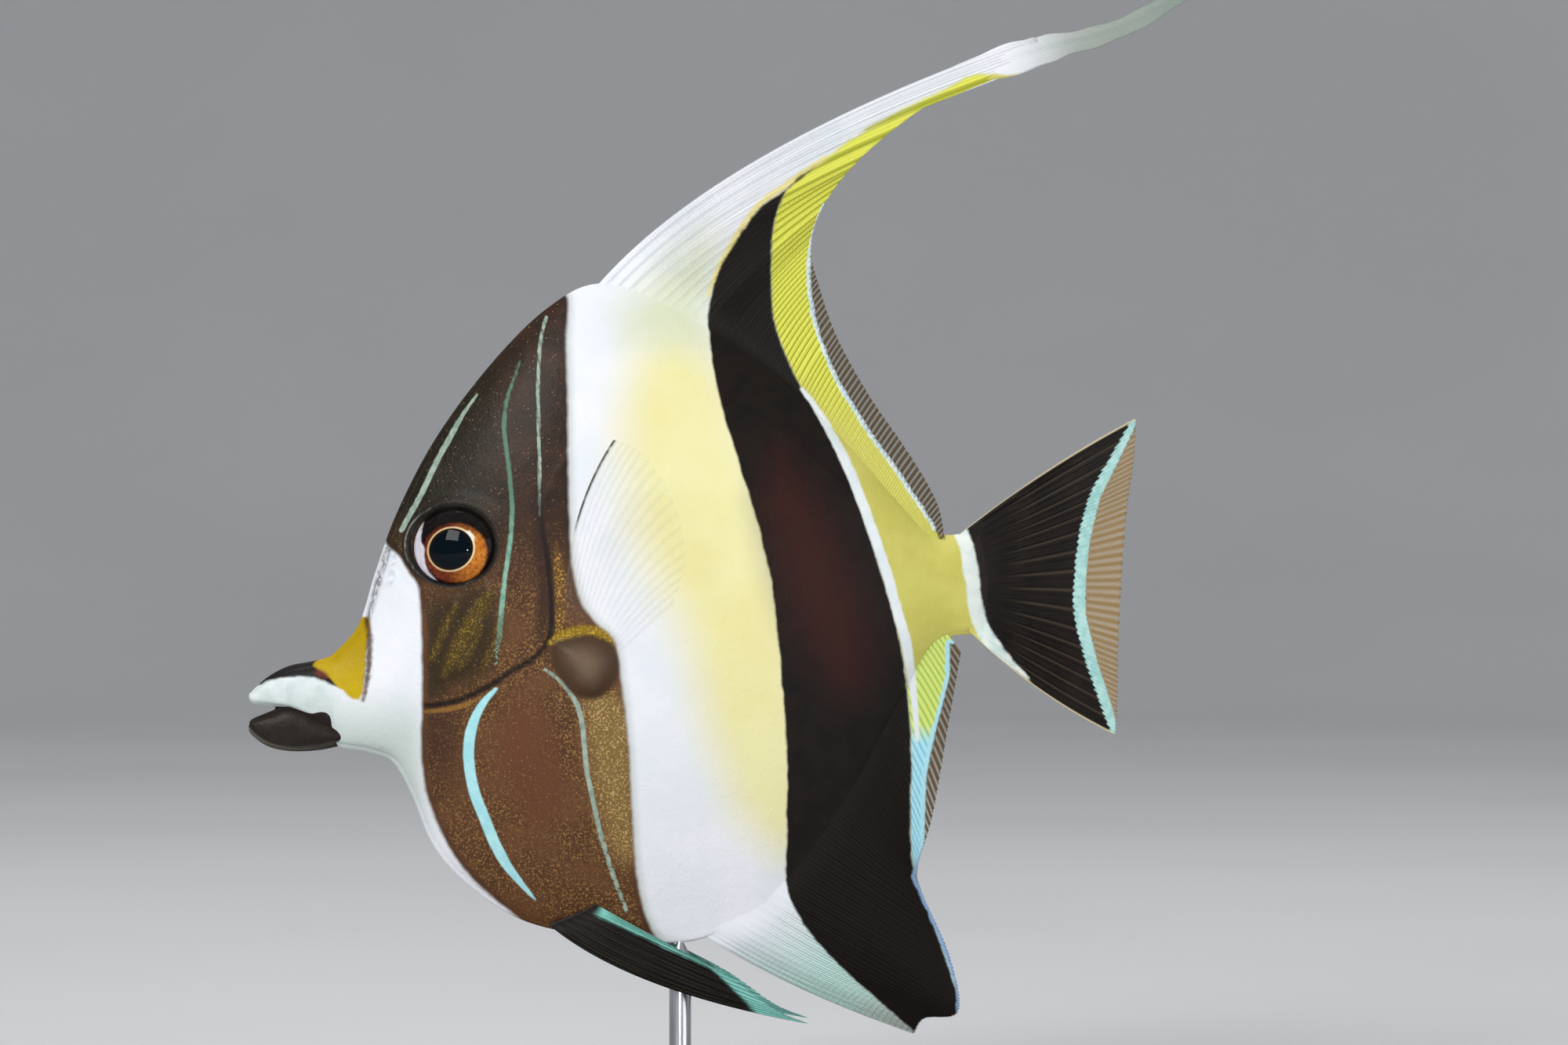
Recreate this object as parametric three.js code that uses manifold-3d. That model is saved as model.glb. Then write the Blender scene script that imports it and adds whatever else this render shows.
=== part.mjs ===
// Moorish idol (Zanclus cornutus): a life-size still model on a plain display stand.
// Millimetres, +Z up. The fish faces -X with its left side to -Y, and Y = 0 is its middle plane.
// The origin is the centre of the stand base's underside.
import * as THREE from 'three';
import { mergeVertices } from 'three/addons/utils/BufferGeometryUtils.js';
import Module from 'manifold-3d';

const wasm = await Module();
wasm.setup();

// Driving dimensions
const GAP = 0.3; // clearance between neighbouring pieces
const FLAP_STEP = 0.5; // how far the gill cover stands out over the flank
const SIDES = [['left', -1], ['right', 1]];

// Body stations from snout to tail root. Each rib runs from the belly over the flank to the back:
// back x, z, flank x, z, belly x, z, half-width of the flank and of the ridge, section sharpness.
const BODY = [
  [-72.0, 96.8, -72.2, 87.7, -72.3, 79.2, 3.6, 1.3, 0.5],
  [-66.7, 102.9, -65.0, 88.8, -65.6, 78.4, 5.2, 1.3, 0.5],
  [-63.2, 114.1, -58.4, 92.0, -60.0, 76.0, 7.0, 1.2, 0.55],
  [-58.9, 126.1, -51.2, 96.2, -56.0, 69.0, 9.2, 1.1, 0.6],
  [-51.2, 141.0, -43.2, 100.5, -51.8, 58.9, 11.2, 1.0, 0.65],
  [-40.3, 155.7, -35.2, 104.5, -44.8, 50.9, 12.6, 1.0, 0.7],
  [-28.8, 167.2, -25.6, 106.9, -34.4, 44.0, 13.2, 1.0, 0.75],
  [-18.4, 172.3, -14.4, 107.7, -20.8, 40.5, 13.2, 1.1, 0.8],
  [-4.8, 168.8, -1.6, 108.5, -6.4, 38.9, 12.8, 1.1, 0.8],
  [8.8, 161.8, 11.2, 109.3, 5.1, 40.8, 11.8, 1.0, 0.8],
  [20.8, 152.8, 24.0, 110.1, 17.6, 48.8, 10.3, 0.9, 0.8],
  [32.0, 141.0, 35.2, 110.9, 30.4, 64.5, 8.3, 0.8, 0.8],
  [41.6, 129.8, 44.0, 111.2, 40.8, 84.0, 6.0, 0.8, 0.75],
  [49.6, 121.8, 50.4, 111.4, 49.6, 99.4, 4.2, 0.8, 0.65],
  [57.0, 121.4, 57.3, 111.8, 57.9, 102.2, 2.4, 0.8, 0.6],
];
const STALK_X = 43.2; // where the tail stalk is parted from the torso

// Rear edge of the head, from above the nape along the gill opening to below the throat: x, z
const GILL_EDGE = [
  [-21.4, 176.5], [-24.0, 162.1], [-27.2, 141.3], [-29.1, 125.3], [-28.3, 114.1], [-27.8, 104.5],
  [-30.4, 97.8], [-38.4, 91.0], [-46.4, 87.4], [-53.6, 82.9], [-58.4, 76.5], [-60.8, 72.5],
];

// Jaws from the snout forward: top x, z, middle x, z, bottom x, z, half-widths, sharpness
const UPPER_JAW = [
  [-72.4, 96.5, -72.5, 89.7, -72.6, 82.9, 3.6, 1.3, 0.5],
  [-76.8, 95.0, -76.8, 90.0, -76.8, 85.1, 3.4, 1.2, 0.45],
  [-81.6, 94.1, -81.5, 90.5, -81.3, 87.0, 3.0, 1.1, 0.45],
  [-85.6, 92.2, -85.6, 89.9, -85.4, 87.6, 2.4, 0.9, 0.45],
  [-88.6, 89.9, -88.7, 88.8, -88.6, 87.8, 1.5, 0.6, 0.5],
  [-89.5, 88.9, -89.6, 88.5, -89.5, 88.1, 0.6, 0.3, 0.5],
];
const LOWER_JAW = [
  [-72.6, 82.1, -72.6, 80.8, -72.6, 79.4, 3.4, 1.2, 0.5],
  [-76.5, 84.5, -76.5, 81.6, -76.5, 78.6, 3.3, 1.2, 0.45],
  [-81.4, 86.2, -81.5, 82.3, -81.6, 78.4, 2.9, 1.1, 0.45],
  [-85.6, 84.9, -85.7, 82.0, -85.9, 79.2, 2.3, 0.9, 0.45],
  [-88.9, 83.8, -89.0, 82.6, -89.0, 81.1, 1.4, 0.6, 0.5],
  [-89.8, 83.1, -90.0, 82.6, -89.9, 82.1, 0.6, 0.3, 0.5],
];
const LIP_RADIUS = 0.85;

// Head features on each side: places as x, z on the flank
const EYE = { at: [-48.8, 119.4], size: [9.1, 5.2, 8.5], proud: 2.3 };
const ORBIT = { radius: 9.6, tube: 0.9, sunk: 0.2 };
const NOSTRILS = [{ at: [-60.6, 116.6], radius: 0.9 }, { at: [-61.2, 113.1], radius: 1.2 }];
const CHEEK_RIDGE = { path: [[-41.6, 109.6], [-44.2, 104.0], [-48.6, 96.4], [-52.2, 91.4]], radius: 1.2, sunk: 0.8 };
const LOBE = { at: [-21.1, 95.2], size: [7.2, 4.2, 6.1], proud: 2.2 };

// Fins as key rays, each a curve: root x, z, bend x, z, tip x, z
const DORSAL = {
  keys: [
    [-21.8, 170.0, 1.5, 199.4, 70.5, 223.4],
    [-17.5, 168.8, 5.0, 196.0, 73.0, 219.0],
    [-13.0, 167.5, 10.0, 192.0, 72.0, 213.0],
    [-8.5, 166.0, 13.0, 188.5, 58.0, 208.5],
    [-4.0, 164.5, 14.0, 184.5, 46.0, 202.0],
    [0.5, 162.5, 15.0, 180.0, 36.5, 194.5],
    [5.0, 160.0, 16.0, 175.0, 30.5, 186.5],
    [10.0, 157.0, 17.5, 169.0, 28.5, 179.0],
    [15.5, 153.3, 20.5, 163.0, 29.0, 172.5],
    [21.0, 149.0, 24.8, 156.5, 31.2, 165.0],
    [28.0, 142.0, 31.2, 147.6, 36.4, 154.6],
    [36.5, 132.0, 39.3, 137.0, 43.6, 142.4],
    [44.0, 124.0, 47.0, 128.0, 50.4, 132.0],
    [50.0, 118.6, 52.2, 120.8, 54.5, 121.8],
  ],
  rays: 28, rows: 7, ridge: 0.5, spines: 2, rootRun: 7, fringe: 0,
};
// Ray along which the dorsal fin is parted, from inside the back to beyond the trailing edge: x, z
const DORSAL_PARTING = [[4.0, 150.0], [11.0, 163.6], [17.5, 172.4], [23.5, 179.4], [31.0, 187.0]];
// Trailing edge of the dorsal fin, from the filament down to the tail stalk: x, z
const DORSAL_EDGE = [
  [74.0, 217.9], [54.1, 211.6], [46.9, 208.3], [35.2, 198.8], [27.8, 189.6], [24.8, 180.5],
  [26.6, 172.0], [30.2, 161.9], [36.8, 150.0], [45.3, 137.6], [50.6, 128.0], [52.2, 120.0],
];
const ANAL = {
  keys: [
    [-0.4, 41.2, 16.2, 30.2, 45.8, 19.8],
    [4.2, 43.6, 21.8, 32.9, 48.0, 22.9],
    [11.0, 48.4, 27.6, 38.6, 54.9, 24.4],
    [18.8, 55.2, 33.4, 47.4, 53.1, 35.7],
    [27.3, 66.0, 37.7, 59.0, 47.4, 48.8],
    [33.3, 76.0, 41.0, 69.2, 46.6, 53.9],
    [37.6, 86.4, 44.3, 79.0, 49.6, 64.5],
    [43.3, 97.4, 49.0, 91.6, 52.8, 82.9],
    [49.4, 105.2, 52.8, 101.4, 55.4, 97.8],
  ],
  rays: 22, rows: 6, ridge: 0.5, spines: 2, rootRun: 6, fringe: 0.5,
};
const TAIL = {
  keys: [
    [56.0, 121.1, 72.0, 135.6, 91.2, 145.6],
    [56.3, 118.9, 72.8, 126.9, 90.6, 136.5],
    [56.6, 116.0, 72.8, 120.5, 89.3, 126.9],
    [57.0, 111.7, 72.8, 112.2, 88.2, 112.5],
    [57.4, 107.4, 72.8, 103.7, 87.5, 98.1],
    [57.8, 104.5, 72.0, 96.5, 87.4, 88.5],
    [58.1, 102.1, 70.8, 88.6, 86.9, 80.8],
  ],
  rays: 12, rows: 5, ridge: 0.5, spines: 0, rootRun: 8, fringe: 0.4, forked: true,
};
const PELVIC = {
  keys: [
    [-28.8, 41.4, -12.8, 29.0, 24.6, 22.4],
    [-24.8, 42.9, -8.0, 34.4, 17.6, 25.3],
    [-21.1, 44.5, -8.8, 39.7, 8.0, 32.0],
    [-19.2, 45.6, -12.4, 42.6, -1.9, 37.3],
  ],
  rays: 6, rows: 8, ridge: 0.7, spines: 1, rootRun: 8, fringe: 0.6,
};
const PECTORAL = {
  keys: [
    [-24.6, 96.4, -27.0, 122.7, -14.7, 140.8],
    [-23.0, 97.0, -22.0, 121.1, -9.3, 138.1],
    [-21.0, 97.2, -16.8, 117.9, -3.4, 129.7],
    [-18.6, 96.4, -11.0, 111.1, -0.5, 118.0],
    [-17.2, 94.6, -9.6, 101.4, -2.9, 107.4],
  ],
  rays: 11, rows: 6, ridge: 0.42, spines: 0, rootRun: 5, fringe: 0.4,
};
const WEB = 0.27; // half-thickness of the membrane between the rays
const PECTORAL_POSE = { root: 13.9, flare: 0.27 };
const PELVIC_POSE = { root: 2.6, flare: 0.07 };

// Trailing filament of the dorsal fin: centre x, z and half-width of the band
const FILAMENT = [
  [69.4, 219.6, 3.2], [75.6, 221.6, 2.5], [82.4, 223.2, 2.1], [90.4, 226.2, 1.9], [98.4, 230.8, 1.75],
  [110.4, 238.4, 1.6], [124.0, 245.6, 1.4], [138.0, 250.2, 1.2], [151.0, 252.2, 0.95],
  [163.0, 252.0, 0.7], [173.0, 250.0, 0.35],
];
const FILAMENT_RIDGE = 0.65;
const FILAMENT_ROOT = [[66.1, 228.6], [74.1, 213.4]]; // line across the tip of the dorsal fin: x, z

// Display stand
const STAND = { length: 136, width: 72, height: 8, edge: 1.2, rodX: -2, rodRadius: 2.25 };
const COLLAR = { radius: 6.5, height: 3.2, chamfer: 0.8 };

// Colours of the pieces
const LOOKS = {
  head: [0x58382a, 0.5, 0], torso: [0xeeebb4, 0.5, 0], tail_stalk: [0xd4cd73, 0.5, 0],
  upper_jaw: [0xd7b914, 0.45, 0], lower_jaw: [0x322a24, 0.45, 0], eye: [0x10131f, 0.08, 0],
  dorsal_fin: [0xf0eefa, 0.5, 0], dorsal_filament: [0xf0eefa, 0.5, 0], anal_fin: [0x261e18, 0.5, 0],
  tail_fin: [0x201a18, 0.5, 0], pelvic_fin: [0x1c1a1c, 0.5, 0], pectoral_fin: [0xc9c3a4, 0.35, 0],
  stand_base: [0x4a3122, 0.45, 0], stand_rod: [0xb9bcc0, 0.3, 1],
};

// Interpolation
const mix = (a, b, t) => a + (b - a) * t;
const smooth = (t) => {
  const c = Math.min(Math.max(t, 0), 1);
  return c * c * (3 - 2 * c);
};

// A smooth curve through the rows of a table, at place s counted in rows
function through(rows, s) {
  const last = rows.length - 1;
  const i = Math.min(Math.max(Math.floor(s), 0), last - 1);
  const f = s - i;
  const row = (k) => rows[Math.min(Math.max(k, 0), last)];
  return rows[i].map((b, n) => {
    const a = i === 0 ? 2 * b - row(1)[n] : row(i - 1)[n];
    const c = row(i + 1)[n];
    const d = i + 1 === last ? 2 * c - b : row(i + 2)[n];
    return b + 0.5 * f * (c - a + f * (2 * a - 5 * b + 4 * c - d + f * (3 * (b - c) + d - a)));
  });
}

// A station whose back and belly points are moved out square to their outlines
function grownStation(rows, s, grow) {
  const here = through(rows, s);
  const ahead = through(rows, s + 0.01);
  for (const [i, turn] of [[0, 1], [4, -1]]) {
    const [dx, dz] = [ahead[i] - here[i], ahead[i + 1] - here[i + 1]];
    const out = (turn * grow) / Math.hypot(dx, dz);
    here[i] -= out * dz;
    here[i + 1] += out * dx;
  }
  return here;
}

// Point of a rib at t, from 0 at the belly to 1 at the back, with the half-width there
function ribPoint(station, t, grow = 0, wide = 0) {
  const [backX, backZ, flankX, flankZ, bellyX, bellyZ, half, ridge, sharp] = station;
  const toBelly = 2 * (t - 0.5) * (t - 1);
  const toFlank = -4 * t * (t - 1);
  const toBack = 2 * t * (t - 0.5);
  const x = toBack * backX + toFlank * flankX + toBelly * bellyX;
  const z = toBack * backZ + toFlank * flankZ + toBelly * bellyZ;
  const round = Math.max(4 * t * (1 - t), 0) ** sharp;
  return { x, z, half: ridge + grow + (half + wide - ridge) * round };
}

// Geometry and solids
function geometryOf(points, triangles) {
  const geometry = new THREE.BufferGeometry();
  geometry.setAttribute('position', new THREE.Float32BufferAttribute(points.flat(), 3));
  geometry.setIndex(triangles.flat());
  return geometry;
}

function signedVolume(points, triangles) {
  const corner = triangles.map((tri) => tri.map((i) => new THREE.Vector3(...points[i])));
  return corner.reduce((sum, [a, b, c]) => sum + a.dot(b.clone().cross(c)) / 6, 0);
}

// A closed surface whose faces are turned outward
function closedGeometry(points, triangles) {
  const outward = signedVolume(points, triangles) > 0;
  return geometryOf(points, outward ? triangles : triangles.map(([a, b, c]) => [a, c, b]));
}

function toSolid(geometry) {
  const bare = geometry.clone();
  bare.deleteAttribute('normal');
  bare.deleteAttribute('uv');
  const merged = mergeVertices(bare, 1e-4);
  return new wasm.Manifold(new wasm.Mesh({
    numProp: 3,
    vertProperties: new Float32Array(merged.attributes.position.array),
    triVerts: new Uint32Array(merged.index.array),
  }));
}

// The largest closed surface of a solid, as a geometry
function toGeometry(solid) {
  const largest = solid.decompose().sort((a, b) => b.volume() - a.volume())[0];
  const mesh = largest.getMesh();
  const geometry = new THREE.BufferGeometry();
  geometry.setAttribute('position', new THREE.BufferAttribute(mesh.vertProperties.slice(), 3));
  geometry.setIndex(new THREE.BufferAttribute(mesh.triVerts.slice(), 1));
  return geometry;
}

const joined = (solids) => solids.reduce((all, next) => all.add(next));

// A closed skin over rings of equal length, capped at both ends
function skinOver(rings) {
  const around = rings[0].length;
  const points = rings.flat();
  const triangles = [];
  for (let r = 0; r + 1 < rings.length; r += 1) {
    for (let k = 0; k < around; k += 1) {
      const a = r * around + k;
      const b = r * around + ((k + 1) % around);
      triangles.push([a, b, b + around], [a, b + around, a + around]);
    }
  }
  for (const [ring, order] of [[0, 1], [rings.length - 1, -1]]) {
    const start = ring * around;
    const middle = [0, 1, 2].map((n) => rings[ring].reduce((sum, p) => sum + p[n], 0) / around);
    points.push(middle);
    for (let k = 0; k < around; k += 1) {
      const next = start + ((k + 1) % around);
      const pair = order > 0 ? [next, start + k] : [start + k, next];
      triangles.push([points.length - 1, ...pair]);
    }
  }
  return closedGeometry(points, triangles);
}

// The loft over a table of stations between two places
function loft(stations, { from, to, steps, arc, grow = 0, wide = 0 }) {
  const rings = [];
  for (let r = 0; r <= steps; r += 1) {
    const station = grownStation(stations, mix(from, to, r / steps), grow);
    const rib = [];
    for (let k = 0; k <= arc; k += 1) {
      rib.push(ribPoint(station, (1 - Math.cos((Math.PI * k) / arc)) / 2, grow, wide));
    }
    const right = rib.map(({ x, z, half }) => [x, half, z]);
    const left = rib.map(({ x, z, half }) => [x, -half, z]).reverse();
    rings.push([...right, ...left]);
  }
  return skinOver(rings);
}

// Half-width of the flank at x, z, found by closing in on the station and the height there
function flankAt([x, z]) {
  let best = { miss: Infinity, s: 7, t: 0.5 };
  for (let [reachS, reachT] = [7, 0.5]; reachS > 0.01; reachS /= 4, reachT /= 4) {
    const [midS, midT] = [best.s, best.t];
    for (let i = -8; i <= 8; i += 1) {
      const s = midS + (reachS * i) / 8;
      const station = through(BODY, s);
      for (let j = -8; j <= 8; j += 1) {
        const t = Math.min(Math.max(midT + (reachT * j) / 8, 0), 1);
        const point = ribPoint(station, t);
        const miss = Math.hypot(point.x - x, point.z - z);
        if (miss < best.miss) best = { miss, s, t, half: point.half };
      }
    }
  }
  return best.half;
}

// A block through the whole width over an outline in x and z
function widthwise(outline, half = 40) {
  const shape = new THREE.Shape(outline.map(([x, z]) => new THREE.Vector2(x, z)));
  const block = new THREE.ExtrudeGeometry(shape, { depth: 2 * half, bevelEnabled: false });
  block.rotateX(Math.PI / 2);
  block.translate(0, half, 0);
  return toSolid(block);
}

function ellipsoid(size, segments = 16) {
  const ball = new THREE.SphereGeometry(1, segments, Math.round(segments * 0.7));
  ball.scale(...size);
  return ball;
}

// Turns a shape from square across to square on the flank at x, z, and sets it there
function setOnFlank(geometry, [x, z], side, out, reach = 5) {
  const lean = Math.atan2(flankAt([x, z - reach]) - flankAt([x, z + reach]), 2 * reach);
  const turn = Math.atan2(flankAt([x + reach, z]) - flankAt([x - reach, z]), 2 * reach);
  geometry.rotateX(side * lean);
  geometry.rotateZ(side * turn);
  const middle = flankAt([x, z]) + out * Math.cos(turn) * Math.cos(lean);
  return geometry.translate(x - out * Math.sin(turn), side * middle, z + out * Math.sin(lean));
}

// A round cord along a curve through points
function cord(points, radius, steps) {
  const path = new THREE.CatmullRomCurve3(points.map((p) => new THREE.Vector3(...p)));
  const section = new THREE.Shape().absarc(0, 0, radius, 0, 2 * Math.PI);
  const options = { steps, extrudePath: path, bevelEnabled: false, curveSegments: 3 };
  return new THREE.ExtrudeGeometry(section, options);
}

// Flesh of the fish
function gillEdge(offset, count = 34) {
  const points = [];
  const at = (s) => through(GILL_EDGE, s);
  for (let i = 0; i <= count; i += 1) {
    const s = ((GILL_EDGE.length - 1) * i) / count;
    const [x, z] = at(s);
    const [ax, az] = at(s - 0.01);
    const [bx, bz] = at(s + 0.01);
    const run = Math.hypot(bx - ax, bz - az);
    points.push([x - (offset * (bz - az)) / run, z + (offset * (bx - ax)) / run]);
  }
  return points;
}

function headBlock(offset) {
  const edge = gillEdge(offset);
  const front = -110;
  return widthwise([...edge, [edge.at(-1)[0], 40], [front, 40], [front, 185], [edge[0][0], 185]]);
}

function stalkBlock(x) {
  return widthwise([[x, 60], [80, 60], [80, 160], [x, 160]]);
}

function lobe(side, grow = 0) {
  const ball = ellipsoid(LOBE.size.map((n) => n + grow));
  return toSolid(setOnFlank(ball, LOBE.at, side, LOBE.proud - LOBE.size[1]));
}

function wholeFlesh(grow) {
  const end = BODY.length - 1 + grow / (BODY.at(-1)[0] - BODY.at(-2)[0]);
  const body = toSolid(loft(BODY, { from: 0, to: end, steps: 42, arc: 14, grow }));
  return joined([body, ...SIDES.map(([, side]) => lobe(side, grow))]);
}

function eyeBall(side, grow = 0) {
  const ball = ellipsoid(EYE.size.map((n) => n + grow), 18);
  return setOnFlank(ball, EYE.at, side, EYE.proud - EYE.size[1]);
}

function orbitRim(side) {
  const rim = new THREE.TorusGeometry(ORBIT.radius, ORBIT.tube, 5, 22);
  rim.rotateX(Math.PI / 2);
  rim.scale(1, 1, EYE.size[2] / EYE.size[0]);
  return toSolid(setOnFlank(rim, EYE.at, side, -ORBIT.sunk));
}

// A low ridge along the flank: a cord sunk by most of its radius, and wholly so at both ends
function flankRidge({ path, radius, sunk }, side, steps) {
  const last = path.length - 1;
  const points = path.map(([x, z], i) => {
    const depth = i === 0 || i === last ? 1.15 * radius : sunk;
    return [x, side * (flankAt([x, z]) - depth), z];
  });
  return toSolid(cord(points, radius, steps));
}

function nostrilRim({ at, radius }, side) {
  const rim = new THREE.TorusGeometry(radius, 0.4, 4, 8);
  rim.rotateX(Math.PI / 2);
  return toSolid(setOnFlank(rim, at, side, 0.35, 1.5));
}

function nostrilPit({ at, radius }, side) {
  return toSolid(setOnFlank(ellipsoid([radius, 1.2, radius], 8), at, side, 0.5, 1.5));
}

function headGeometry() {
  const loaf = toSolid(loft(BODY, { from: 0, to: 8.4, steps: 25, arc: 13, wide: FLAP_STEP }));
  const raised = [loaf];
  const hollows = [];
  for (const [, side] of SIDES) {
    raised.push(orbitRim(side));
    raised.push(flankRidge(CHEEK_RIDGE, side, 8));
    raised.push(...NOSTRILS.map((nostril) => nostrilRim(nostril, side)));
    hollows.push(toSolid(eyeBall(side, GAP)));
    hollows.push(...NOSTRILS.map((nostril) => nostrilPit(nostril, side)));
  }
  return toGeometry(joined(raised).subtract(joined(hollows)).intersect(headBlock(0)));
}

function torsoGeometry() {
  const body = toSolid(loft(BODY, { from: 2, to: 13, steps: 24, arc: 12 }));
  const lobes = SIDES.map(([, side]) => lobe(side));
  const behindHead = joined([body, ...lobes]).subtract(headBlock(GAP));
  return toGeometry(behindHead.subtract(stalkBlock(STALK_X)));
}

function stalkGeometry() {
  const body = toSolid(loft(BODY, { from: 11, to: 14, steps: 8, arc: 12 }));
  return toGeometry(body.intersect(stalkBlock(STALK_X + GAP)));
}

// A jaw with its lip as a rounded rim along the edge that meets the other jaw
function jawGeometry(rows, lipX, lipZ, inward) {
  const last = rows.length - 1;
  const jaw = toSolid(loft(rows, { from: 0, to: last, steps: 2.4 * last, arc: 7 }));
  const edge = [];
  for (let s = 0.25; s < last - 0.4; s += 0.55) {
    const row = through(rows, s);
    edge.push([row[lipX], row[6] * 0.8, row[lipZ] + inward * LIP_RADIUS]);
  }
  const tip = through(rows, last - 0.25);
  const front = [tip[lipX], 0, tip[lipZ] + inward * LIP_RADIUS];
  const back = edge.map(([x, y, z]) => [x, -y, z]).reverse();
  return toGeometry(jaw.add(toSolid(cord([...edge, front, ...back], LIP_RADIUS, 14))));
}

// Fins
const bezier = (a, b, c, v) => (1 - v) * (1 - v) * a + 2 * v * (1 - v) * b + v * v * c;

// Height of the rays over the web: 1 on a ridge, 0 midway between two rays
function rayHeight(column, perRay, forked, v) {
  const phase = (column % perRay) / perRay;
  const single = Math.abs(1 - 2 * phase);
  const paired = phase === 0.25 || phase === 0.75 ? 1 : 0;
  return forked ? mix(single, paired, smooth(v * 1.6 - 0.5)) : single;
}

// A fin between two alike faces, with each ray raised as a ridge on both of them
function finGeometry(fin, rootHalf, depthAt) {
  const perRay = fin.forked ? 4 : 2;
  const columns = fin.rays * perRay;
  const lastKey = fin.keys.length - 1;
  const faces = [];
  for (let i = 0; i <= columns; i += 1) {
    const [rx, rz, bx, bz, tx, tz] = through(fin.keys, (lastKey * i) / columns);
    const length = Math.hypot(tx - rx, tz - rz);
    const spine = i < fin.spines * perRay ? 1.5 : 1;
    const reach = 1 - ((1 - rayHeight(i, perRay, fin.forked, 1)) * fin.fringe) / length;
    for (let j = 0; j <= fin.rows; j += 1) {
      const v = (j / fin.rows) * reach;
      const x = bezier(rx, bx, tx, v);
      const z = bezier(rz, bz, tz, v);
      const ridge = fin.ridge * spine * mix(1, 0.65, v);
      const leaf = mix(WEB, ridge, rayHeight(i, perRay, fin.forked, v));
      const half = mix(Math.max(rootHalf, leaf), leaf, smooth((v * length) / fin.rootRun));
      const y = depthAt(x, z, v * length);
      faces.push([[x, y + half, z], [x, y - half, z]]);
    }
  }
  const rows = fin.rows + 1;
  const points = faces.flat();
  const near = (i, j) => 2 * (i * rows + j);
  const triangles = [];
  const quad = (a, b, c, d) => triangles.push([a, b, c], [a, c, d]);
  for (let i = 0; i < columns; i += 1) {
    for (let j = 0; j < fin.rows; j += 1) {
      const corners = [near(i, j), near(i + 1, j), near(i + 1, j + 1), near(i, j + 1)];
      const [a, b, c, d] = corners;
      quad(a, b, c, d);
      triangles.push([a + 1, c + 1, b + 1], [a + 1, d + 1, c + 1]);
    }
  }
  for (let i = 0; i < columns; i += 1) {
    quad(near(i + 1, 0), near(i, 0), near(i, 0) + 1, near(i + 1, 0) + 1);
    quad(near(i, fin.rows), near(i + 1, fin.rows), near(i + 1, fin.rows) + 1, near(i, fin.rows) + 1);
  }
  for (let j = 0; j < fin.rows; j += 1) {
    quad(near(0, j), near(0, j + 1), near(0, j + 1) + 1, near(0, j) + 1);
    quad(near(columns, j + 1), near(columns, j), near(columns, j) + 1, near(columns, j + 1) + 1);
  }
  return closedGeometry(points, triangles);
}

// All that lies behind the trailing edge of the dorsal fin
function behindDorsalEdge() {
  const last = DORSAL_EDGE.length - 1;
  const edge = [];
  for (let i = 0; i <= 4 * last; i += 1) edge.push(through(DORSAL_EDGE, i / 4));
  const [endX, endZ] = edge.at(-1);
  return widthwise([...edge, [endX + 20, endZ], [90, 160], [90, edge[0][1]]]);
}

// All that lies below the ray where the dorsal fin is parted, as a front and a rear piece
function belowDorsalParting(offset) {
  const edge = DORSAL_PARTING.map(([x, z]) => [x + offset * 0.8, z - offset * 0.6]);
  return widthwise([...edge, [90, edge.at(-1)[1]], [90, 100], [edge[0][0], 100]]);
}

// A fin trimmed to meet the flesh it grows from
function rootedFin(fin, rootHalf, depthAt, flesh) {
  return toSolid(finGeometry(fin, rootHalf, depthAt)).subtract(flesh);
}

// All that lies beyond the line where the filament leaves the dorsal fin
function beyondFinTip(offset) {
  const [[topX, topZ], [bottomX, bottomZ]] = FILAMENT_ROOT;
  const run = Math.hypot(bottomX - topX, bottomZ - topZ);
  const [outX, outZ] = [(offset * (topZ - bottomZ)) / run, (offset * (bottomX - topX)) / run];
  const edge = FILAMENT_ROOT.map(([x, z]) => [x + outX, z + outZ]);
  return widthwise([...edge, [200, bottomZ], [200, 290], [topX, 290]]);
}

// The filament: a tapering band with the spine as a rib along its middle
function filamentGeometry() {
  const steps = 26;
  const rings = [];
  const at = (s) => through(FILAMENT, s);
  for (let r = 0; r <= steps; r += 1) {
    const s = ((FILAMENT.length - 1) * r) / steps;
    const [x, z, half] = at(s);
    const [ax, az] = at(Math.max(s - 0.01, 0));
    const [bx, bz] = at(s + 0.01);
    const run = Math.hypot(bx - ax, bz - az);
    const [ux, uz] = [-(bz - az) / run, (bx - ax) / run];
    const rib = mix(FILAMENT_RIDGE, 0.3, r / steps);
    const across = [[-1, WEB], [-0.3, WEB + 0.05], [0.25, rib], [1, WEB]];
    const place = ([w, y]) => [x + ux * half * w, y, z + uz * half * w];
    const far = across.map(place);
    const near = across.map(([w, y]) => place([w, -y])).reverse();
    rings.push([...far, ...near]);
  }
  return toGeometry(toSolid(skinOver(rings)).intersect(beyondFinTip(GAP / 2)));
}

// Display stand
function standBaseGeometry() {
  const end = STAND.width / 2;
  const middle = STAND.length / 2 - end;
  const outline = new THREE.Shape();
  outline.absarc(middle, 0, end, -Math.PI / 2, Math.PI / 2);
  outline.absarc(-middle, 0, end, Math.PI / 2, (3 * Math.PI) / 2);
  outline.closePath();
  const plate = new THREE.ExtrudeGeometry(outline, {
    depth: STAND.height - 2 * STAND.edge,
    bevelThickness: STAND.edge,
    bevelSize: STAND.edge,
    bevelOffset: -STAND.edge,
    bevelSegments: 2,
    curveSegments: 8,
  });
  plate.translate(0, 0, STAND.edge);
  return plate;
}

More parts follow.
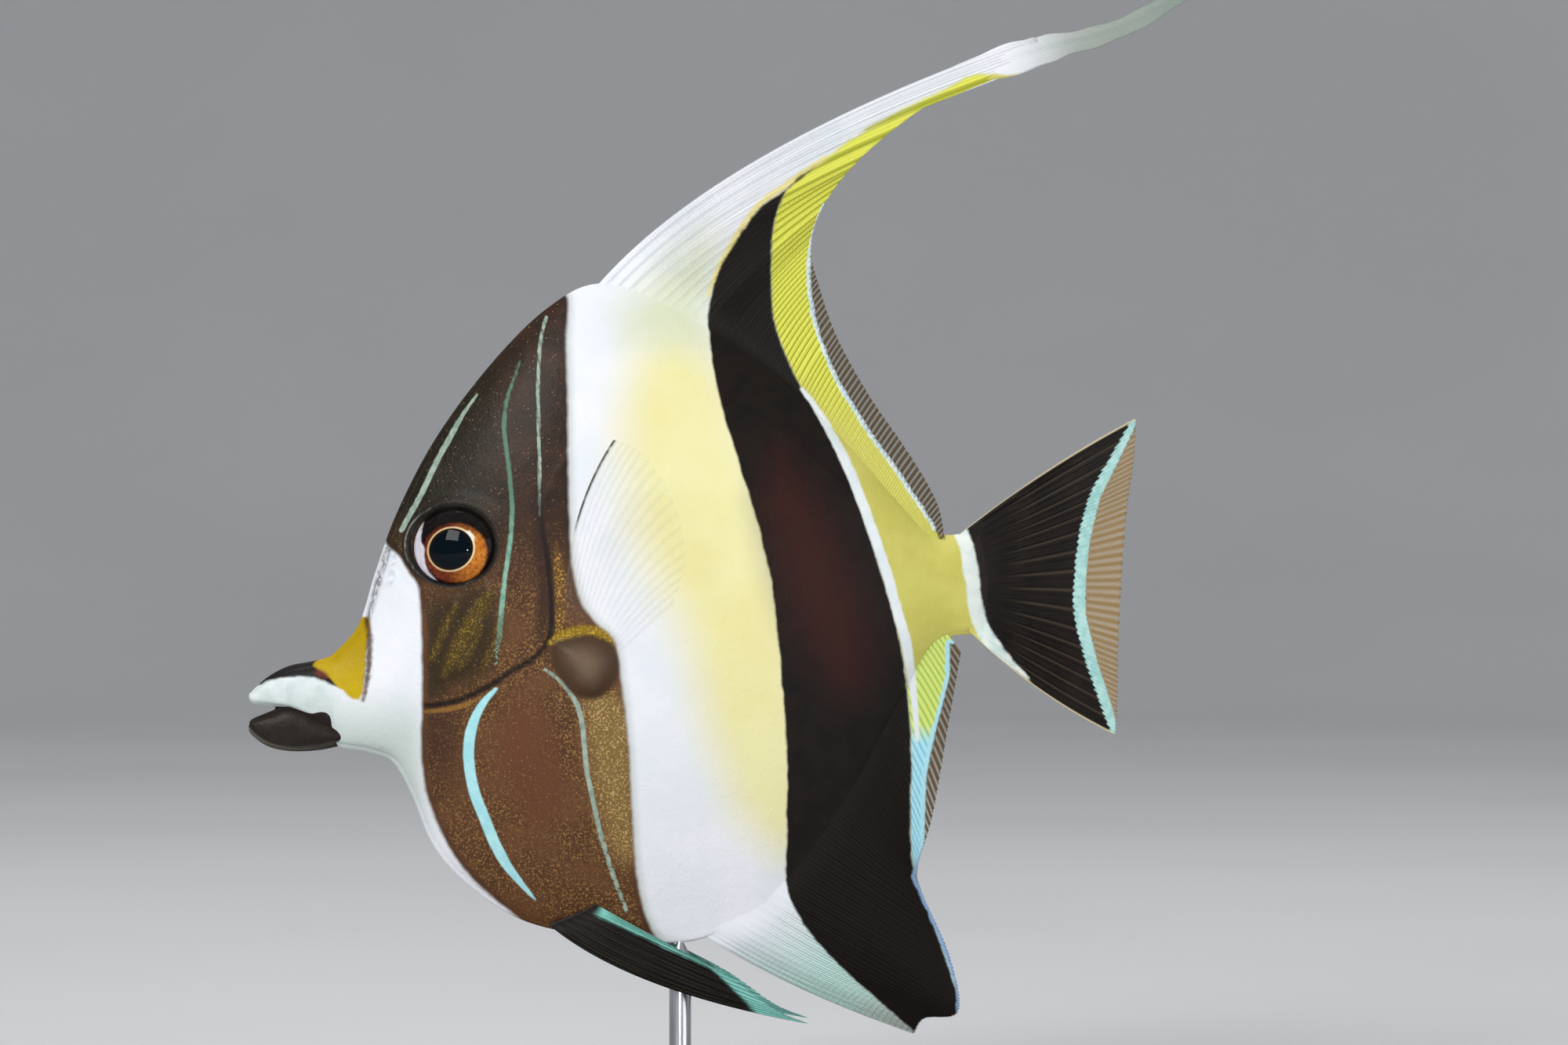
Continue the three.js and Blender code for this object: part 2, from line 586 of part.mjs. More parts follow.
function standRodGeometry(flesh) {
  const foot = STAND.height + GAP;
  const { radius, height, chamfer } = COLLAR;
  const profile = [
    [0, foot], [radius, foot], [radius, foot + height - chamfer], [radius - chamfer, foot + height],
    [STAND.rodRadius, foot + height], [STAND.rodRadius, 42], [0, 42],
  ];
  const rod = new THREE.LatheGeometry(profile.map(([r, z]) => new THREE.Vector2(r, z)), 20);
  rod.rotateX(Math.PI / 2);
  rod.translate(STAND.rodX, 0, 0);
  return toGeometry(toSolid(rod).subtract(flesh));
}

// The whole model
const model = new THREE.Group();

function addPiece(name, geometry, look = name) {
  const [color, roughness, metalness] = LOOKS[look];
  const mesh = new THREE.Mesh(geometry, new THREE.MeshStandardMaterial({ color, roughness, metalness }));
  mesh.name = name;
  model.add(mesh);
}

const flesh = wholeFlesh(GAP);
const inMiddle = () => 0;
addPiece('head', headGeometry());
addPiece('torso', torsoGeometry());
addPiece('tail_stalk', stalkGeometry());
addPiece('upper_jaw', jawGeometry(UPPER_JAW, 4, 5, 1));
addPiece('lower_jaw', jawGeometry(LOWER_JAW, 0, 1, -1));
const dorsalFin = rootedFin(DORSAL, 0.9, inMiddle, flesh)
  .subtract(beyondFinTip(-GAP / 2))
  .subtract(behindDorsalEdge());
addPiece('dorsal_fin', toGeometry(dorsalFin.subtract(belowDorsalParting(-GAP / 2))));
addPiece('dorsal_fin_rear', toGeometry(dorsalFin.intersect(belowDorsalParting(GAP / 2))), 'dorsal_fin');
addPiece('dorsal_filament', filamentGeometry());
addPiece('anal_fin', toGeometry(rootedFin(ANAL, 0.9, inMiddle, flesh)));
addPiece('tail_fin', toGeometry(rootedFin(TAIL, 1.6, inMiddle, flesh)));
for (const [name, side] of SIDES) {
  const spread = (pose) => (x, z, run) => side * (pose.root + pose.flare * run);
  const pelvic = rootedFin(PELVIC, 1.2, spread(PELVIC_POSE), flesh);
  const pectoral = rootedFin(PECTORAL, 0.9, spread(PECTORAL_POSE), flesh);
  addPiece(`eye_${name}`, eyeBall(side), 'eye');
  addPiece(`pelvic_fin_${name}`, toGeometry(pelvic), 'pelvic_fin');
  addPiece(`pectoral_fin_${name}`, toGeometry(pectoral), 'pectoral_fin');
}
addPiece('stand_base', standBaseGeometry());
addPiece('stand_rod', standRodGeometry(flesh));

export default model;
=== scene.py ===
"""Looks of a life-size moorish idol (Zanclus cornutus) on a plain display stand.

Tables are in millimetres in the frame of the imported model, and meshes are made in metres.
The fish faces -X with its left side to -Y, and Y = 0 is its middle plane.
"""

import math

import bpy
import numpy as np
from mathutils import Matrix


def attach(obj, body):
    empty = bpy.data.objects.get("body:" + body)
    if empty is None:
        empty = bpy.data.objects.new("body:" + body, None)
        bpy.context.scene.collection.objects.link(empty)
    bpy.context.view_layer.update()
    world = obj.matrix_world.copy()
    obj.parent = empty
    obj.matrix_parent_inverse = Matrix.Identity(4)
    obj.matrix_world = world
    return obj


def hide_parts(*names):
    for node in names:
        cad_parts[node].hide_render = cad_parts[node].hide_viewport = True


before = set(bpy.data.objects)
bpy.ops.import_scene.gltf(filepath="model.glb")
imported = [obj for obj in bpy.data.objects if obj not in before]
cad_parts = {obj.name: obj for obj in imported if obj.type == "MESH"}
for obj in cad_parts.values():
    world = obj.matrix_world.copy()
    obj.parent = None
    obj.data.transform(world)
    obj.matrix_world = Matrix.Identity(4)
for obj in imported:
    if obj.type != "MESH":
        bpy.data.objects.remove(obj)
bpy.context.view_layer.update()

# View and light, with each lamp's place, target, size, power and colour
MM = 0.001
CAMERA = (19.2, -1100.0, 124.2)
LENS = 123.75
LAMPS = [
    ((-620, -920, 760), (0, 0, 120), 480, 9, (1, 0.985, 0.965)),
    ((900, -760, 300), (20, 0, 110), 700, 3.2, (0.98, 0.99, 1)),
    ((60, 500, 1300), (10, 0, 100), 900, 6, (1, 1, 1)),
    ((10, -1300, 130), (0, 0, 110), 45, 1.8, (1, 1, 0.98)),
]
SKY = (0.93, 0.94, 0.95, 1)
SKY_STRENGTH = 0.62
FLOOR = {"flat": 2400, "bend": 1500, "height": 4200}

# Rows of the skin from the tip of the upper jaw to the root of the tail fin:
# back x, z, flank x, z, belly x, z, half-width of the flank and of the ridge, section sharpness
SKIN = [
    (-89.5, 88.9, -89.6, 88.5, -89.5, 88.1, 0.6, 0.3, 0.5),
    (-88.6, 89.9, -88.7, 88.8, -88.6, 87.8, 1.5, 0.6, 0.5),
    (-85.6, 92.2, -85.6, 89.9, -85.4, 87.6, 2.4, 0.9, 0.45),
    (-81.6, 94.1, -81.5, 90.5, -81.3, 87, 3, 1.1, 0.45),
    (-76.8, 95, -76.8, 90, -76.8, 85.1, 3.4, 1.2, 0.45),
    (-73.6, 95.8, -73.4, 89.9, -73.2, 83.6, 3.55, 1.25, 0.47),
    (-71.6, 97.1, -71.6, 88.2, -71.5, 79.6, 3.7, 1.3, 0.5),
    (-66.7, 102.9, -65, 88.8, -65.6, 78.4, 5.2, 1.3, 0.5),
    (-63.2, 114.1, -58.4, 92, -60, 76, 7, 1.2, 0.55),
    (-58.9, 126.1, -51.2, 96.2, -56, 69, 9.2, 1.1, 0.6),
    (-51.2, 141, -43.2, 100.5, -51.8, 58.9, 11.2, 1, 0.65),
    (-40.3, 155.7, -35.2, 104.5, -44.8, 50.9, 12.6, 1, 0.7),
    (-28.8, 167.2, -25.6, 106.9, -34.4, 44, 13.2, 1, 0.75),
    (-18.4, 172.3, -14.4, 107.7, -20.8, 40.5, 13.2, 0.85, 0.9),
    (-4.8, 168.8, -1.6, 108.5, -6.4, 38.9, 12.8, 0.75, 1.05),
    (8.8, 161.8, 11.2, 109.3, 5.1, 40.8, 11.8, 0.75, 1.1),
    (20.8, 152.8, 24, 110.1, 17.6, 48.8, 10.3, 0.75, 1.1),
    (32, 141, 35.2, 110.9, 30.4, 64.5, 8.3, 0.7, 1.1),
    (41.6, 129.8, 44, 111.2, 40.8, 84, 6, 0.7, 1),
    (49.6, 121.8, 50.4, 111.4, 49.6, 99.4, 4.2, 0.7, 0.8),
    (57, 121.6, 57.3, 111.8, 57.9, 102, 2.4, 0.8, 0.6),
    (59.6, 123.7, 61.6, 111.8, 60.4, 100, 0.3, 0.25, 0.6),
]
SKIN_COLUMNS = [5] * 6 + [17] * 7 + [13] * 7 + [6]
SKIN_ARC = 166
LOWER_JAW = [
    (-89.8, 83.1, -90, 82.6, -89.9, 82.1, 0.6, 0.3, 0.5),
    (-88.9, 83.8, -89, 82.6, -89, 81.1, 1.4, 0.6, 0.5),
    (-85.6, 84.9, -85.7, 82, -85.9, 79.2, 2.3, 0.9, 0.45),
    (-81.4, 86.2, -81.5, 82.3, -81.6, 78.4, 2.9, 1.1, 0.45),
    (-76.5, 84.5, -76.5, 81.6, -76.5, 78.6, 3.3, 1.2, 0.45),
    (-72.6, 82.9, -72.6, 81, -72.6, 79.3, 3.2, 1.2, 0.5),
    (-69.6, 82.6, -69.6, 81.2, -69.6, 79.9, 2, 0.9, 0.5),
    (-67.2, 82.4, -67.2, 81.4, -67.2, 80.6, 0.9, 0.5, 0.5),
]
MOUTH = [
    (-84.6, 87, -84.6, 86.2, -84.6, 85.4, 0.5, 0.4, 0.5),
    (-82, 87.6, -82, 86.2, -82, 84.8, 1.3, 0.7, 0.5),
    (-78, 88, -78, 85.6, -78, 82.6, 2.2, 1, 0.5),
    (-74, 88, -74, 84.6, -74, 81, 2.8, 1.2, 0.5),
    (-70, 88, -70, 84.4, -70, 81, 2, 1, 0.5),
]

# Features of the head on the flank; the eye leans as the flank does over its reach
EYE = (-47.9, 119.5)
EYE_SIZE = (9.25, 5.3, 8.6)
EYE_PROUD = 2.5
EYE_REACH = 5
CORNEA = (0.35, 5.2)
ORBIT = (9.5, 8.5)
NOSTRILS = [(-60.6, 116.6, 0.8), (-61.2, 113.1, 1.05)]
GILL = [
    (-31.2, 133), (-30.8, 128.5), (-30.1, 122.6), (-29.1, 117.4), (-28.5, 111.6), (-28.2, 106.2),
    (-28.4, 102.2), (-29.4, 99.2), (-31.5, 96.9), (-34.2, 95.1), (-37.4, 93.2), (-41.3, 90.7),
    (-46.2, 88.3), (-50.6, 87.2), (-55, 86.8),
]
GILL_FRONT = [(-70.0, 86.0), (-70.0, 140.0)]
CHEEK_RIDGES = [
    [(-40.6, 110.4), (-43.2, 106), (-46.8, 99.6), (-50.4, 92.6)],
    [(-42.6, 103.2), (-44.6, 98.8), (-47.2, 94.2)],
    [(-38.6, 104.6), (-39.8, 99.4), (-42.2, 94.6)],
    [(-47.8, 107.2), (-50.4, 101.8), (-52.8, 96.2)],
]
CHEEK_WIDTHS = (1.5, 0.5, 0.6, 0.6)
LATERAL_LINE = [
    (-30.4, 127), (-24, 139), (-14, 148), (0, 150.4), (14, 145.4), (27, 135.4), (38, 123.6), (47, 115.8),
    (57, 112.6),
]

# Relief of the head: ridges and grooves by height, place and width
RELIEF = {
    "orbit_rim": (0.55, 1.01, 0.05), "orbit_fold": (0.2, 1.2, 0.08), "gill_crease": (-0.8, 0, 0.65),
    "cheek_ridge": (0.5, 0, 1.1), "lobe_groove": (-0.4, 0.4, 0.6), "nostril_rim": (0.4, 1.25, 0.3),
    "pores": (0.12, 0, 0.7), "lip": (0.45, 0.9, 0.8),
}
# Other forms of the relief: height, then from where to where or over what length
SOCKET = (-3.8, 0.72, 0.93)
NOSTRIL_PIT = (-1, 0.4, 1.05)
LOBE_RISE = (2.6, 6)
GILL_RISE, GILL_DROP = (0.75, 6), (-0.35, 1.2)
GILL_TOP, GILL_END = (133, 126), (-55, -50)

# Fins as key rays, each a curve: root x, z, bend x, z, tip x, z.
# The pose is the root's distance from the middle and the flare.
DORSAL = {
    "keys": [
        (-21.8, 169, 1.5, 199.4, 70.5, 223.4), (-17.5, 167.8, 5, 196, 73, 219),
        (-13, 166.5, 10, 192, 72, 213), (-8.5, 165, 13, 188.5, 58, 208.5), (-4, 163.5, 14, 184.5, 46, 202),
        (0.5, 161.5, 15, 180, 36.5, 194.5), (5, 159, 16, 175, 30.5, 186.5), (10, 156, 17.5, 169, 28.5, 179),
        (15.5, 152.3, 20.5, 163, 29, 172.5), (21, 148, 24.8, 156.5, 31.2, 165),
        (28, 141, 31.2, 147.6, 36.4, 154.6), (36.5, 131, 39.3, 137, 43.6, 142.4),
        (44, 123, 47, 128, 50.4, 132), (50, 117.6, 52.2, 120.8, 54.5, 121.8),
    ],
    "shares": [2, 2, 2, 2, 2, 4, 3, 3, 3, 5, 6, 5, 5],
    "rays": 44, "per_ray": 8, "rows": 66, "splits": (0.45, 0.8), "fringe": 0.45, "spines": 3,
    "ridge": 0.5, "root_half": 1.8, "root_run": 5.6, "wave": 0.35, "pose": (0, 0),
}
DORSAL_EDGE = [
    (74, 217.9), (54.1, 211.6), (46.9, 208.3), (35.2, 198.8), (27.8, 189.6), (24.8, 180.5), (26.6, 172),
    (30.2, 161.9), (36.8, 150), (45.3, 137.6), (50.6, 128), (52.2, 120),
]
FILAMENT = [
    (50, 213.4, 1.6), (60, 217, 2.9), (69.4, 219.8, 3.2), (75.6, 221.6, 2.5), (82.4, 223.2, 2.1),
    (90.4, 226.2, 1.9), (98.4, 230.8, 1.75), (110.4, 238.4, 1.6), (124, 245.6, 1.4), (138, 250.2, 1.2),
    (151, 252.2, 0.95), (163, 252, 0.7), (173, 250, 0.3),
]
ANAL = {
    "keys": [
        (-0.4, 42.2, 16.2, 30.2, 45.8, 19.8), (4.2, 44.6, 21.8, 32.9, 48, 22.9),
        (11, 49.4, 27.6, 38.6, 54.9, 24.4), (18.8, 56.2, 33.4, 47.4, 53.1, 35.7),
        (27.3, 67, 37.7, 59, 47.4, 48.8), (33.3, 77, 41, 69.2, 46.6, 53.9),
        (37.6, 87.4, 44.3, 79, 49.6, 64.5), (43.3, 98.4, 49, 91.6, 52.8, 82.9),
        (49.4, 106.2, 52.8, 101.4, 55.4, 97.8),
    ],
    "rays": 36, "per_ray": 8, "rows": 52, "splits": (0.4, 0.75), "fringe": 0.5, "spines": 2,
    "ridge": 0.5, "root_half": 1.15, "root_run": 9.0, "wave": 0.4, "pose": (0, 0),
}
TAIL = {
    "keys": [
        (54.5, 121.4, 72, 135.6, 91.2, 145.6), (55, 119.2, 72.8, 126.9, 90.6, 136.5),
        (55.4, 116, 72.8, 120.5, 89.3, 126.9), (56, 111.7, 72.8, 112.2, 88.2, 112.5),
        (56.4, 107.4, 72.8, 103.7, 87.5, 98.1), (56.8, 104.2, 72, 96.5, 87.4, 88.5),
        (57, 102, 70.8, 88.6, 86.9, 80.8),
    ],
    "rays": 17, "per_ray": 16, "rows": 56, "splits": (0.22, 0.55), "fringe": 0.5, "spines": 1,
    "ridge": 0.5, "root_half": 1.3, "root_run": 5.5, "wave": 0.3, "pose": (0, 0),
}
PELVIC = {
    "keys": [
        (-28.8, 42.4, -12.8, 29, 24.6, 22.4), (-24.8, 43.9, -8, 34.4, 17.6, 25.3),
        (-21.1, 45.5, -8.8, 39.7, 8, 32), (-19.2, 46.6, -12.4, 42.6, -1.9, 37.3),
    ],
    "rays": 7, "per_ray": 14, "rows": 70, "splits": (0.3, 0.6), "fringe": 0.9, "spines": 1,
    "ridge": 0.6, "root_half": 0.8, "root_run": 3.5, "wave": 0.0, "pose": (2.6, 0.07),
}
PECTORAL = {
    "keys": [
        (-24.6, 96.4, -27, 122.7, -14.7, 140.8), (-23, 97, -22, 121.1, -9.3, 138.1),
        (-21, 97.2, -16.8, 117.9, -3.4, 129.7), (-18.6, 96.4, -11, 111.1, -0.5, 118),
        (-17.2, 94.6, -9.6, 101.4, -2.9, 107.4),
    ],
    "rays": 18, "per_ray": 8, "rows": 54, "splits": (0.35, 0.7), "fringe": 0.3, "spines": 1,
    "ridge": 0.36, "root_half": 0.6, "root_run": 2.0, "wave": 0.0, "pose": (13.9, 0.27),
}
WEB = 0.2
SPINE_EXTRA = 0.6
RAY_WIDTHS = (0.17, 0.05, 0.03)
BRANCHES = (0.23, 0.115)
FILAMENT_RIBS = ((1, 0.35, 0.3), (0.35, -0.45, 0.22))

# Display stand, with the rod's radius and height from its foot up
STAND = {"length": 136.0, "width": 72.0, "height": 8.0, "edge": 1.6}
ROD = [
    (0.4, 8), (6.2, 8), (6.5, 8.35), (6.5, 10.4), (6.3, 11), (5.7, 11.4), (3.2, 11.55), (2.5, 11.9),
    (2.25, 12.6), (2.25, 34), (2.1, 35.6), (1.2, 37.6), (0.6, 38.6), (0.5, 40), (0.5, 45.6), (0.2, 46),
]
ROD_X = -2.0

# Parts of the unrolled map: low corner, high corner
FULL_MAP = (0.01, 0.01, 0.99, 0.99)
MAIN_MAP = (0.01, 0.01, 0.99, 0.86)
TOP_MAP = (0.01, 0.88, 0.99, 0.99)
JAW_MAP = (0.01, 0.88, 0.99, 0.94)
MOUTH_MAP = (0.01, 0.95, 0.99, 0.99)

# Outlines of the markings, rounded before use
AREAS = {
    "head": [
        (-66, 136), (-63.6, 124), (-62, 119.9), (-59.4, 117.4), (-57.4, 114), (-55.4, 110.6),
        (-54.9, 102.9), (-54.7, 94.9), (-54.7, 86.9), (-54.9, 78.9), (-54.2, 70.9), (-52.3, 64.5),
        (-49.3, 58.1), (-45.3, 52.5), (-40, 47.4), (-33.9, 42.8), (-28.8, 39.5), (-20, 34), (-5.4, 34.5),
        (-8, 41.3), (-9.9, 46.9), (-11.2, 54.9), (-11.7, 62.9), (-12.2, 70.9), (-12.6, 78.9), (-13.4, 86.9),
        (-14.4, 94.9), (-15.5, 99.7), (-18.9, 103.4), (-22.1, 107.7), (-23.8, 114.1), (-24.5, 122.1),
        (-24.8, 134.9), (-25, 150.9), (-25.3, 162.1), (-26.1, 172.1), (-40, 176),
    ],
    "band_yellow": [
        (4, 160.9), (-3.2, 164.1), (-9.6, 161.5), (-13.8, 154.1), (-14.9, 141.3), (-13.6, 126.9),
        (-10.4, 115.7), (-3.8, 102.9), (1, 86.9), (5.2, 72.9), (10, 62.9), (19.8, 55.1), (25.4, 64.5),
        (25.6, 78.9), (24.2, 94.9), (22, 110.9), (18, 128.5), (13, 142.9), (9.6, 152.5),
    ],
    "fin_base": [
        (-14.4, 166.9), (-4.8, 177.1), (3.2, 182.9), (6.6, 176.7), (4, 166.9), (3.2, 160.5), (-4.8, 160.5),
        (-12.8, 162.1),
    ],
    "saddle": [
        (-77, 95), (-75.6, 94), (-73.6, 92.4), (-71.8, 90.6), (-70, 89.2), (-68.4, 88), (-67.2, 88.6),
        (-66.4, 92), (-66, 98.1), (-65.4, 104.4), (-69, 104), (-74, 98.4),
    ],
    "snout_top": [
        (-92, 92.4), (-90, 90.3), (-88, 91), (-84.8, 92.3), (-81.6, 92.7), (-78.6, 92.8), (-76.6, 92.4),
        (-74.6, 91.8), (-73, 90.9), (-71.6, 91), (-72.6, 94), (-74.6, 97.2), (-84, 97),
    ],
    "gold": [
        (-21.6, 88.9), (-17.6, 89.5), (-12.1, 86.9), (-11.4, 77.3), (-10.6, 64.5), (-10.5, 56.5),
        (-14.4, 54.9), (-17.6, 61.3), (-19.7, 70.9), (-20.8, 78.9),
    ],
    "reddish": [
        (18, 138), (26, 128), (33, 112), (36, 98), (33, 90), (25, 98), (19, 112), (15, 128),
    ],
    "lobe": [
        (-28.5, 99.4), (-25.3, 101), (-21.6, 101.6), (-17.9, 101), (-15.7, 99), (-14.6, 96.5),
        (-14.7, 93.6), (-16, 90.7), (-18.4, 88.6), (-21.1, 88.2), (-24, 89.4), (-26.4, 92.3), (-28.3, 95.5),
    ],
    "cheek_area": [
        (-54.6, 108), (-49, 109.5), (-43, 110.5), (-39.4, 107), (-39.6, 100), (-41.6, 94), (-46, 90.6),
        (-54.6, 88), (-55.4, 98),
    ],
    "crescent": [
        (-54.2, 124.8), (-56, 122.7), (-57.1, 120.5), (-56.8, 118.1), (-55.7, 115.7), (-53.9, 113.3),
        (-51.2, 111.2), (-51.8, 112.5), (-53.6, 114.6), (-54.2, 117), (-54.2, 118.9), (-54.9, 120.5),
        (-54.7, 122.7),
    ],
}
BLACK_FRONT = [
    (25.6, 196.8), (22.6, 194.4), (18.9, 191.5), (15, 189), (12, 185.4), (9, 181), (5.9, 175.7),
    (4.3, 170.1), (3.8, 165.3), (4.2, 159.7), (5.3, 153.3), (6.7, 146.9), (9, 139.7), (10.9, 133.3),
    (12.8, 127.7), (14.7, 120.5), (16.2, 114.1), (17.4, 106.1), (18.2, 98.1), (18.9, 90.1), (19.5, 82.1),
    (19.8, 74.1), (19.8, 66.1), (19.7, 58.1), (19.5, 52.5), (20.5, 47.7), (23.2, 42.4), (27.2, 37.3),
    (32.8, 31.7), (39.2, 26.1), (46.1, 20),
]
BLACK_REAR = [
    (54.7, 21), (54.4, 27.7), (52.8, 33), (50.2, 40.5), (47.2, 48.5), (45.3, 54.9), (45, 61.3), (45, 69),
    (45.1, 77.3), (44.8, 83.7), (44.2, 90.9), (43, 98.9), (41.3, 106.1), (39.2, 113.3), (37, 120.5),
    (34.4, 127.7), (32, 134.1), (28.8, 141), (25.3, 147.4), (22.7, 151.5), (20.6, 155.7), (18.7, 160.3),
    (17, 165.8), (16.6, 172.3), (16.5, 178.1), (16.8, 183.2), (17.8, 188), (19.7, 192), (22.4, 194.7),
    (25.6, 196.8),
]
REAR_REST = [
    (31.2, 201.1), (36.8, 205), (42.4, 208), (48, 210.6), (58, 215.6), (80, 215), (80, 10), (56, 10),
]
TAIL_REST = [
    (73, 86), (82, 72), (110, 72), (110, 152), (56, 152),
]

# Outlines of the clear margins of the fins
CLEAR = {
    "clear_dorsal": [
        (27.2, 189), (25.6, 184.5), (24.5, 179.7), (24.2, 174.9), (24.8, 168.5), (26.1, 162.9), (28, 157.8),
        (30.4, 152.5), (33.3, 147.8), (36.2, 143), (39.8, 138.1), (42.1, 134.9), (45.4, 129.9), (47.4, 127),
        (49.9, 123), (52, 119), (70, 119), (70, 189),
    ],
    "clear_anal": [
        (53, 99.4), (53, 92.8), (52, 88.8), (50.6, 83.5), (49.1, 77), (48.2, 71.7), (48, 64.5),
        (47.7, 57.3), (46.1, 52), (48.3, 47.2), (51.4, 40.2), (54.1, 33), (55.4, 28.5), (55, 21), (80, 21),
        (80, 99.4),
    ],
    "clear_tail": [
        (92, 147), (90.8, 143.4), (87.4, 136.5), (83.7, 129.1), (81.6, 120.5), (80.8, 112.3), (80.8, 105.3),
        (83.1, 96), (85.8, 87.8), (88, 80), (110, 80), (110, 147),
    ],
}

# Lines of the markings, each with its half-width at the start, in the middle and at the end
LINES = {
    "teal": ([
        (-34.6, 157.3), (-36, 153.3), (-37.1, 150.1), (-37.8, 146.1), (-37.8, 141.3), (-37.1, 136.5),
        (-36.6, 131.7), (-36.3, 126.9), (-36.5, 122.1), (-37.1, 117.3), (-37.8, 112.5), (-38.4, 106.9),
        (-38.9, 101.3), (-39.8, 95.7),
    ], 0.2, 0.45, 0.6),
    "blue": ([
        (-39.6, 90.2), (-42, 87.6), (-44, 83.9), (-45.1, 79.2), (-45, 74.4), (-44, 69.2), (-42, 64),
        (-39.9, 58.9), (-37.4, 54.3), (-34.1, 50.1), (-31.5, 47.2),
    ], 0.4, 1.1, 0.2),
    "white_line": ([
        (22.9, 151.4), (25.6, 147.8), (29.4, 141.3), (32.8, 134.4), (35.2, 128.2), (37.9, 120.8),
        (40.2, 113.8), (42.2, 106.6), (44.2, 99.4), (45.4, 91.4), (46.1, 84.5), (46.4, 79.7),
    ], 0.4, 1.0, 0.35),
    "yellow_rim": ([
        (3.8, 170.5), (5.6, 175.5), (8.4, 180.8), (11.4, 185.5), (14.4, 189.3), (18.4, 192.2), (22.2, 195),
        (28, 199),
    ], 0.3, 0.6, 0.4),
    "lobe_rim": ([
        (-28.6, 99.6), (-26, 101.2), (-22, 102.2), (-18, 101.7), (-15.4, 99.4),
    ], 0.3, 0.95, 0.3),
    "gill_shade": ([
        (-30.8, 129), (-30.2, 118), (-29.8, 107), (-30.6, 100.6),
    ], 0.3, 1.3, 0.6),
    "gill_gold": ([
        (-27.2, 120), (-26.6, 113), (-26.4, 106.5), (-27, 101.4),
    ], 0.3, 0.95, 0.6),
    "gill_light": ([
        (-54.4, 85.6), (-50.6, 85.9), (-46.6, 86.7), (-43, 88.2),
    ], 0.25, 0.45, 0.2),
    "face_edge": ([
        (-65.6, 104.8), (-64.2, 110), (-62.6, 115.6), (-60.9, 120.8), (-59.6, 124.4),
    ], 0.5, 0.75, 1.1),
    # Next: a painted highlight along the lower edge of the lower jaw, not a marking
    "jaw_edge_highlight": ([
        (-90.2, 82.4), (-88.6, 80.6), (-85.9, 79), (-81.6, 78.1), (-76.5, 78.3), (-72.6, 79.1),
    ], 0.15, 0.22, 0.15),
    "snout_line": ([
        (-65.9, 104.4), (-65.4, 100.6), (-65.5, 96.1), (-65.9, 92.3), (-66.6, 88),
    ], 0.55, 0.6, 0.3),
    "tail_base": ([
        (55.2, 122.6), (56.6, 118.4), (57.6, 112.6), (58.3, 107.4), (60, 102), (63.6, 97.4), (69, 92.4),
    ], 1.5, 1.45, 0.2),
    "tail_band": ([
        (90.6, 144.6), (86.4, 136.5), (82.7, 129.1), (80.6, 120.5), (79.8, 112.3), (79.8, 105.3),
        (82.1, 96), (84.8, 87.8), (86.8, 81.6),
    ], 0.7, 1.35, 1.0),
    "gill": (GILL, 0.15, 0.6, 0.5),
    # Next: a painted pale highlight along the rear edge of the dorsal fin's yellow, by the clear margin
    "yellow_edge": (CLEAR["clear_dorsal"][:15], 0.3, 0.45, 0.4),
}
GREY_LINES = [
    ([
        (-43.4, 150.4), (-46.4, 146.1), (-48.5, 142.4), (-50.9, 138.1), (-53, 133.9), (-54.9, 129.8),
        (-57, 126.1), (-58.9, 122.6),
    ], 0.2, 0.55, 0.5),
    ([
        (-29.3, 166.1), (-30.2, 162.9), (-30.7, 158.9), (-31, 152.5), (-30.9, 144.5), (-30.7, 136.5),
        (-30.7, 130.1), (-30.6, 125.3),
    ], 0.35, 0.36, 0.2),
    ([
        (-29.9, 94.4), (-26.9, 92.2), (-24, 88.8), (-22.2, 84.5), (-21.6, 78.9), (-21, 73.3), (-19.8, 67.7),
        (-18.6, 62.1), (-16.8, 55.7), (-14.9, 50.1), (-12.8, 44.5),
    ], 0.3, 0.5, 0.4),
]

# Ovals of the markings: middle x, z, half-width, half-height, tilt
OVALS = {
    "spot": (-75.2, 93.3, 1.35, 0.75, -0.4),
    "chest_red": (-32.4, 76.0, 6.2, 13.0, 0.15),
    "iris": (-47.9, 118.0, 6.5, 6.05, 0.0),
    "pupil": (-48.75, 118.75, 4.6, 4.2, 0.45),
    # A painted glint on the cream ring at the upper rear edge of the pupil:
    "patch": (-44.9, 121.4, 0.75, 1.25, 0.6),
}
EYE_RING = (-48.8, 119.6, 9.0, 7.95, 0.0)

# Colours that several pieces share, as sRGB in hex
BLACK, BLACK_WEB = "17110d", "0e0b09"
REAR_YELLOW = ("cec76a", "c5be5e")


def through(rows, places):
    """Rows of a table at places counted in rows, on a smooth curve."""
    rows = np.asarray(rows, float)
    places = np.asarray(places, float)
    i = np.clip(np.floor(places).astype(int), 0, len(rows) - 2)
    f = (places - i)[..., None]
    padded = np.vstack([2 * rows[0] - rows[1], rows, 2 * rows[-1] - rows[-2]])
    a, b, c, d = (padded[i + k] for k in range(4))
    return b + 0.5 * f * (c - a + f * (2 * a - 5 * b + 4 * c - d + f * (3 * (b - c) + d - a)))


def smooth(t):
    """Soft step from 0 to 1."""
    t = np.clip(t, 0, 1)
    return t * t * (3 - 2 * t)


def fade(value, start, end):
    """1 at start and before, 0 at end and beyond, or the other way round."""
    return smooth((end - value) / (end - start))


def ridge_over(value, height, place, width):
    """A soft ridge, or a groove where the height is negative."""
    return height * np.exp(-(((value - place) / width) ** 2))


def circle(steps):
    """Angles once round."""
    return np.linspace(0, 2 * math.pi, steps + 1)[:-1]


def seen(points):
    """Where in the middle plane the camera sees points of the flank, the same for both sides."""
    middle = np.array([CAMERA[0], CAMERA[2]])
    grow = 1 / (1 - np.abs(points[..., 1:2]) / -CAMERA[1])
    place = middle + (points[..., [0, 2]] - middle) * grow
    return place[..., 0], place[..., 1]


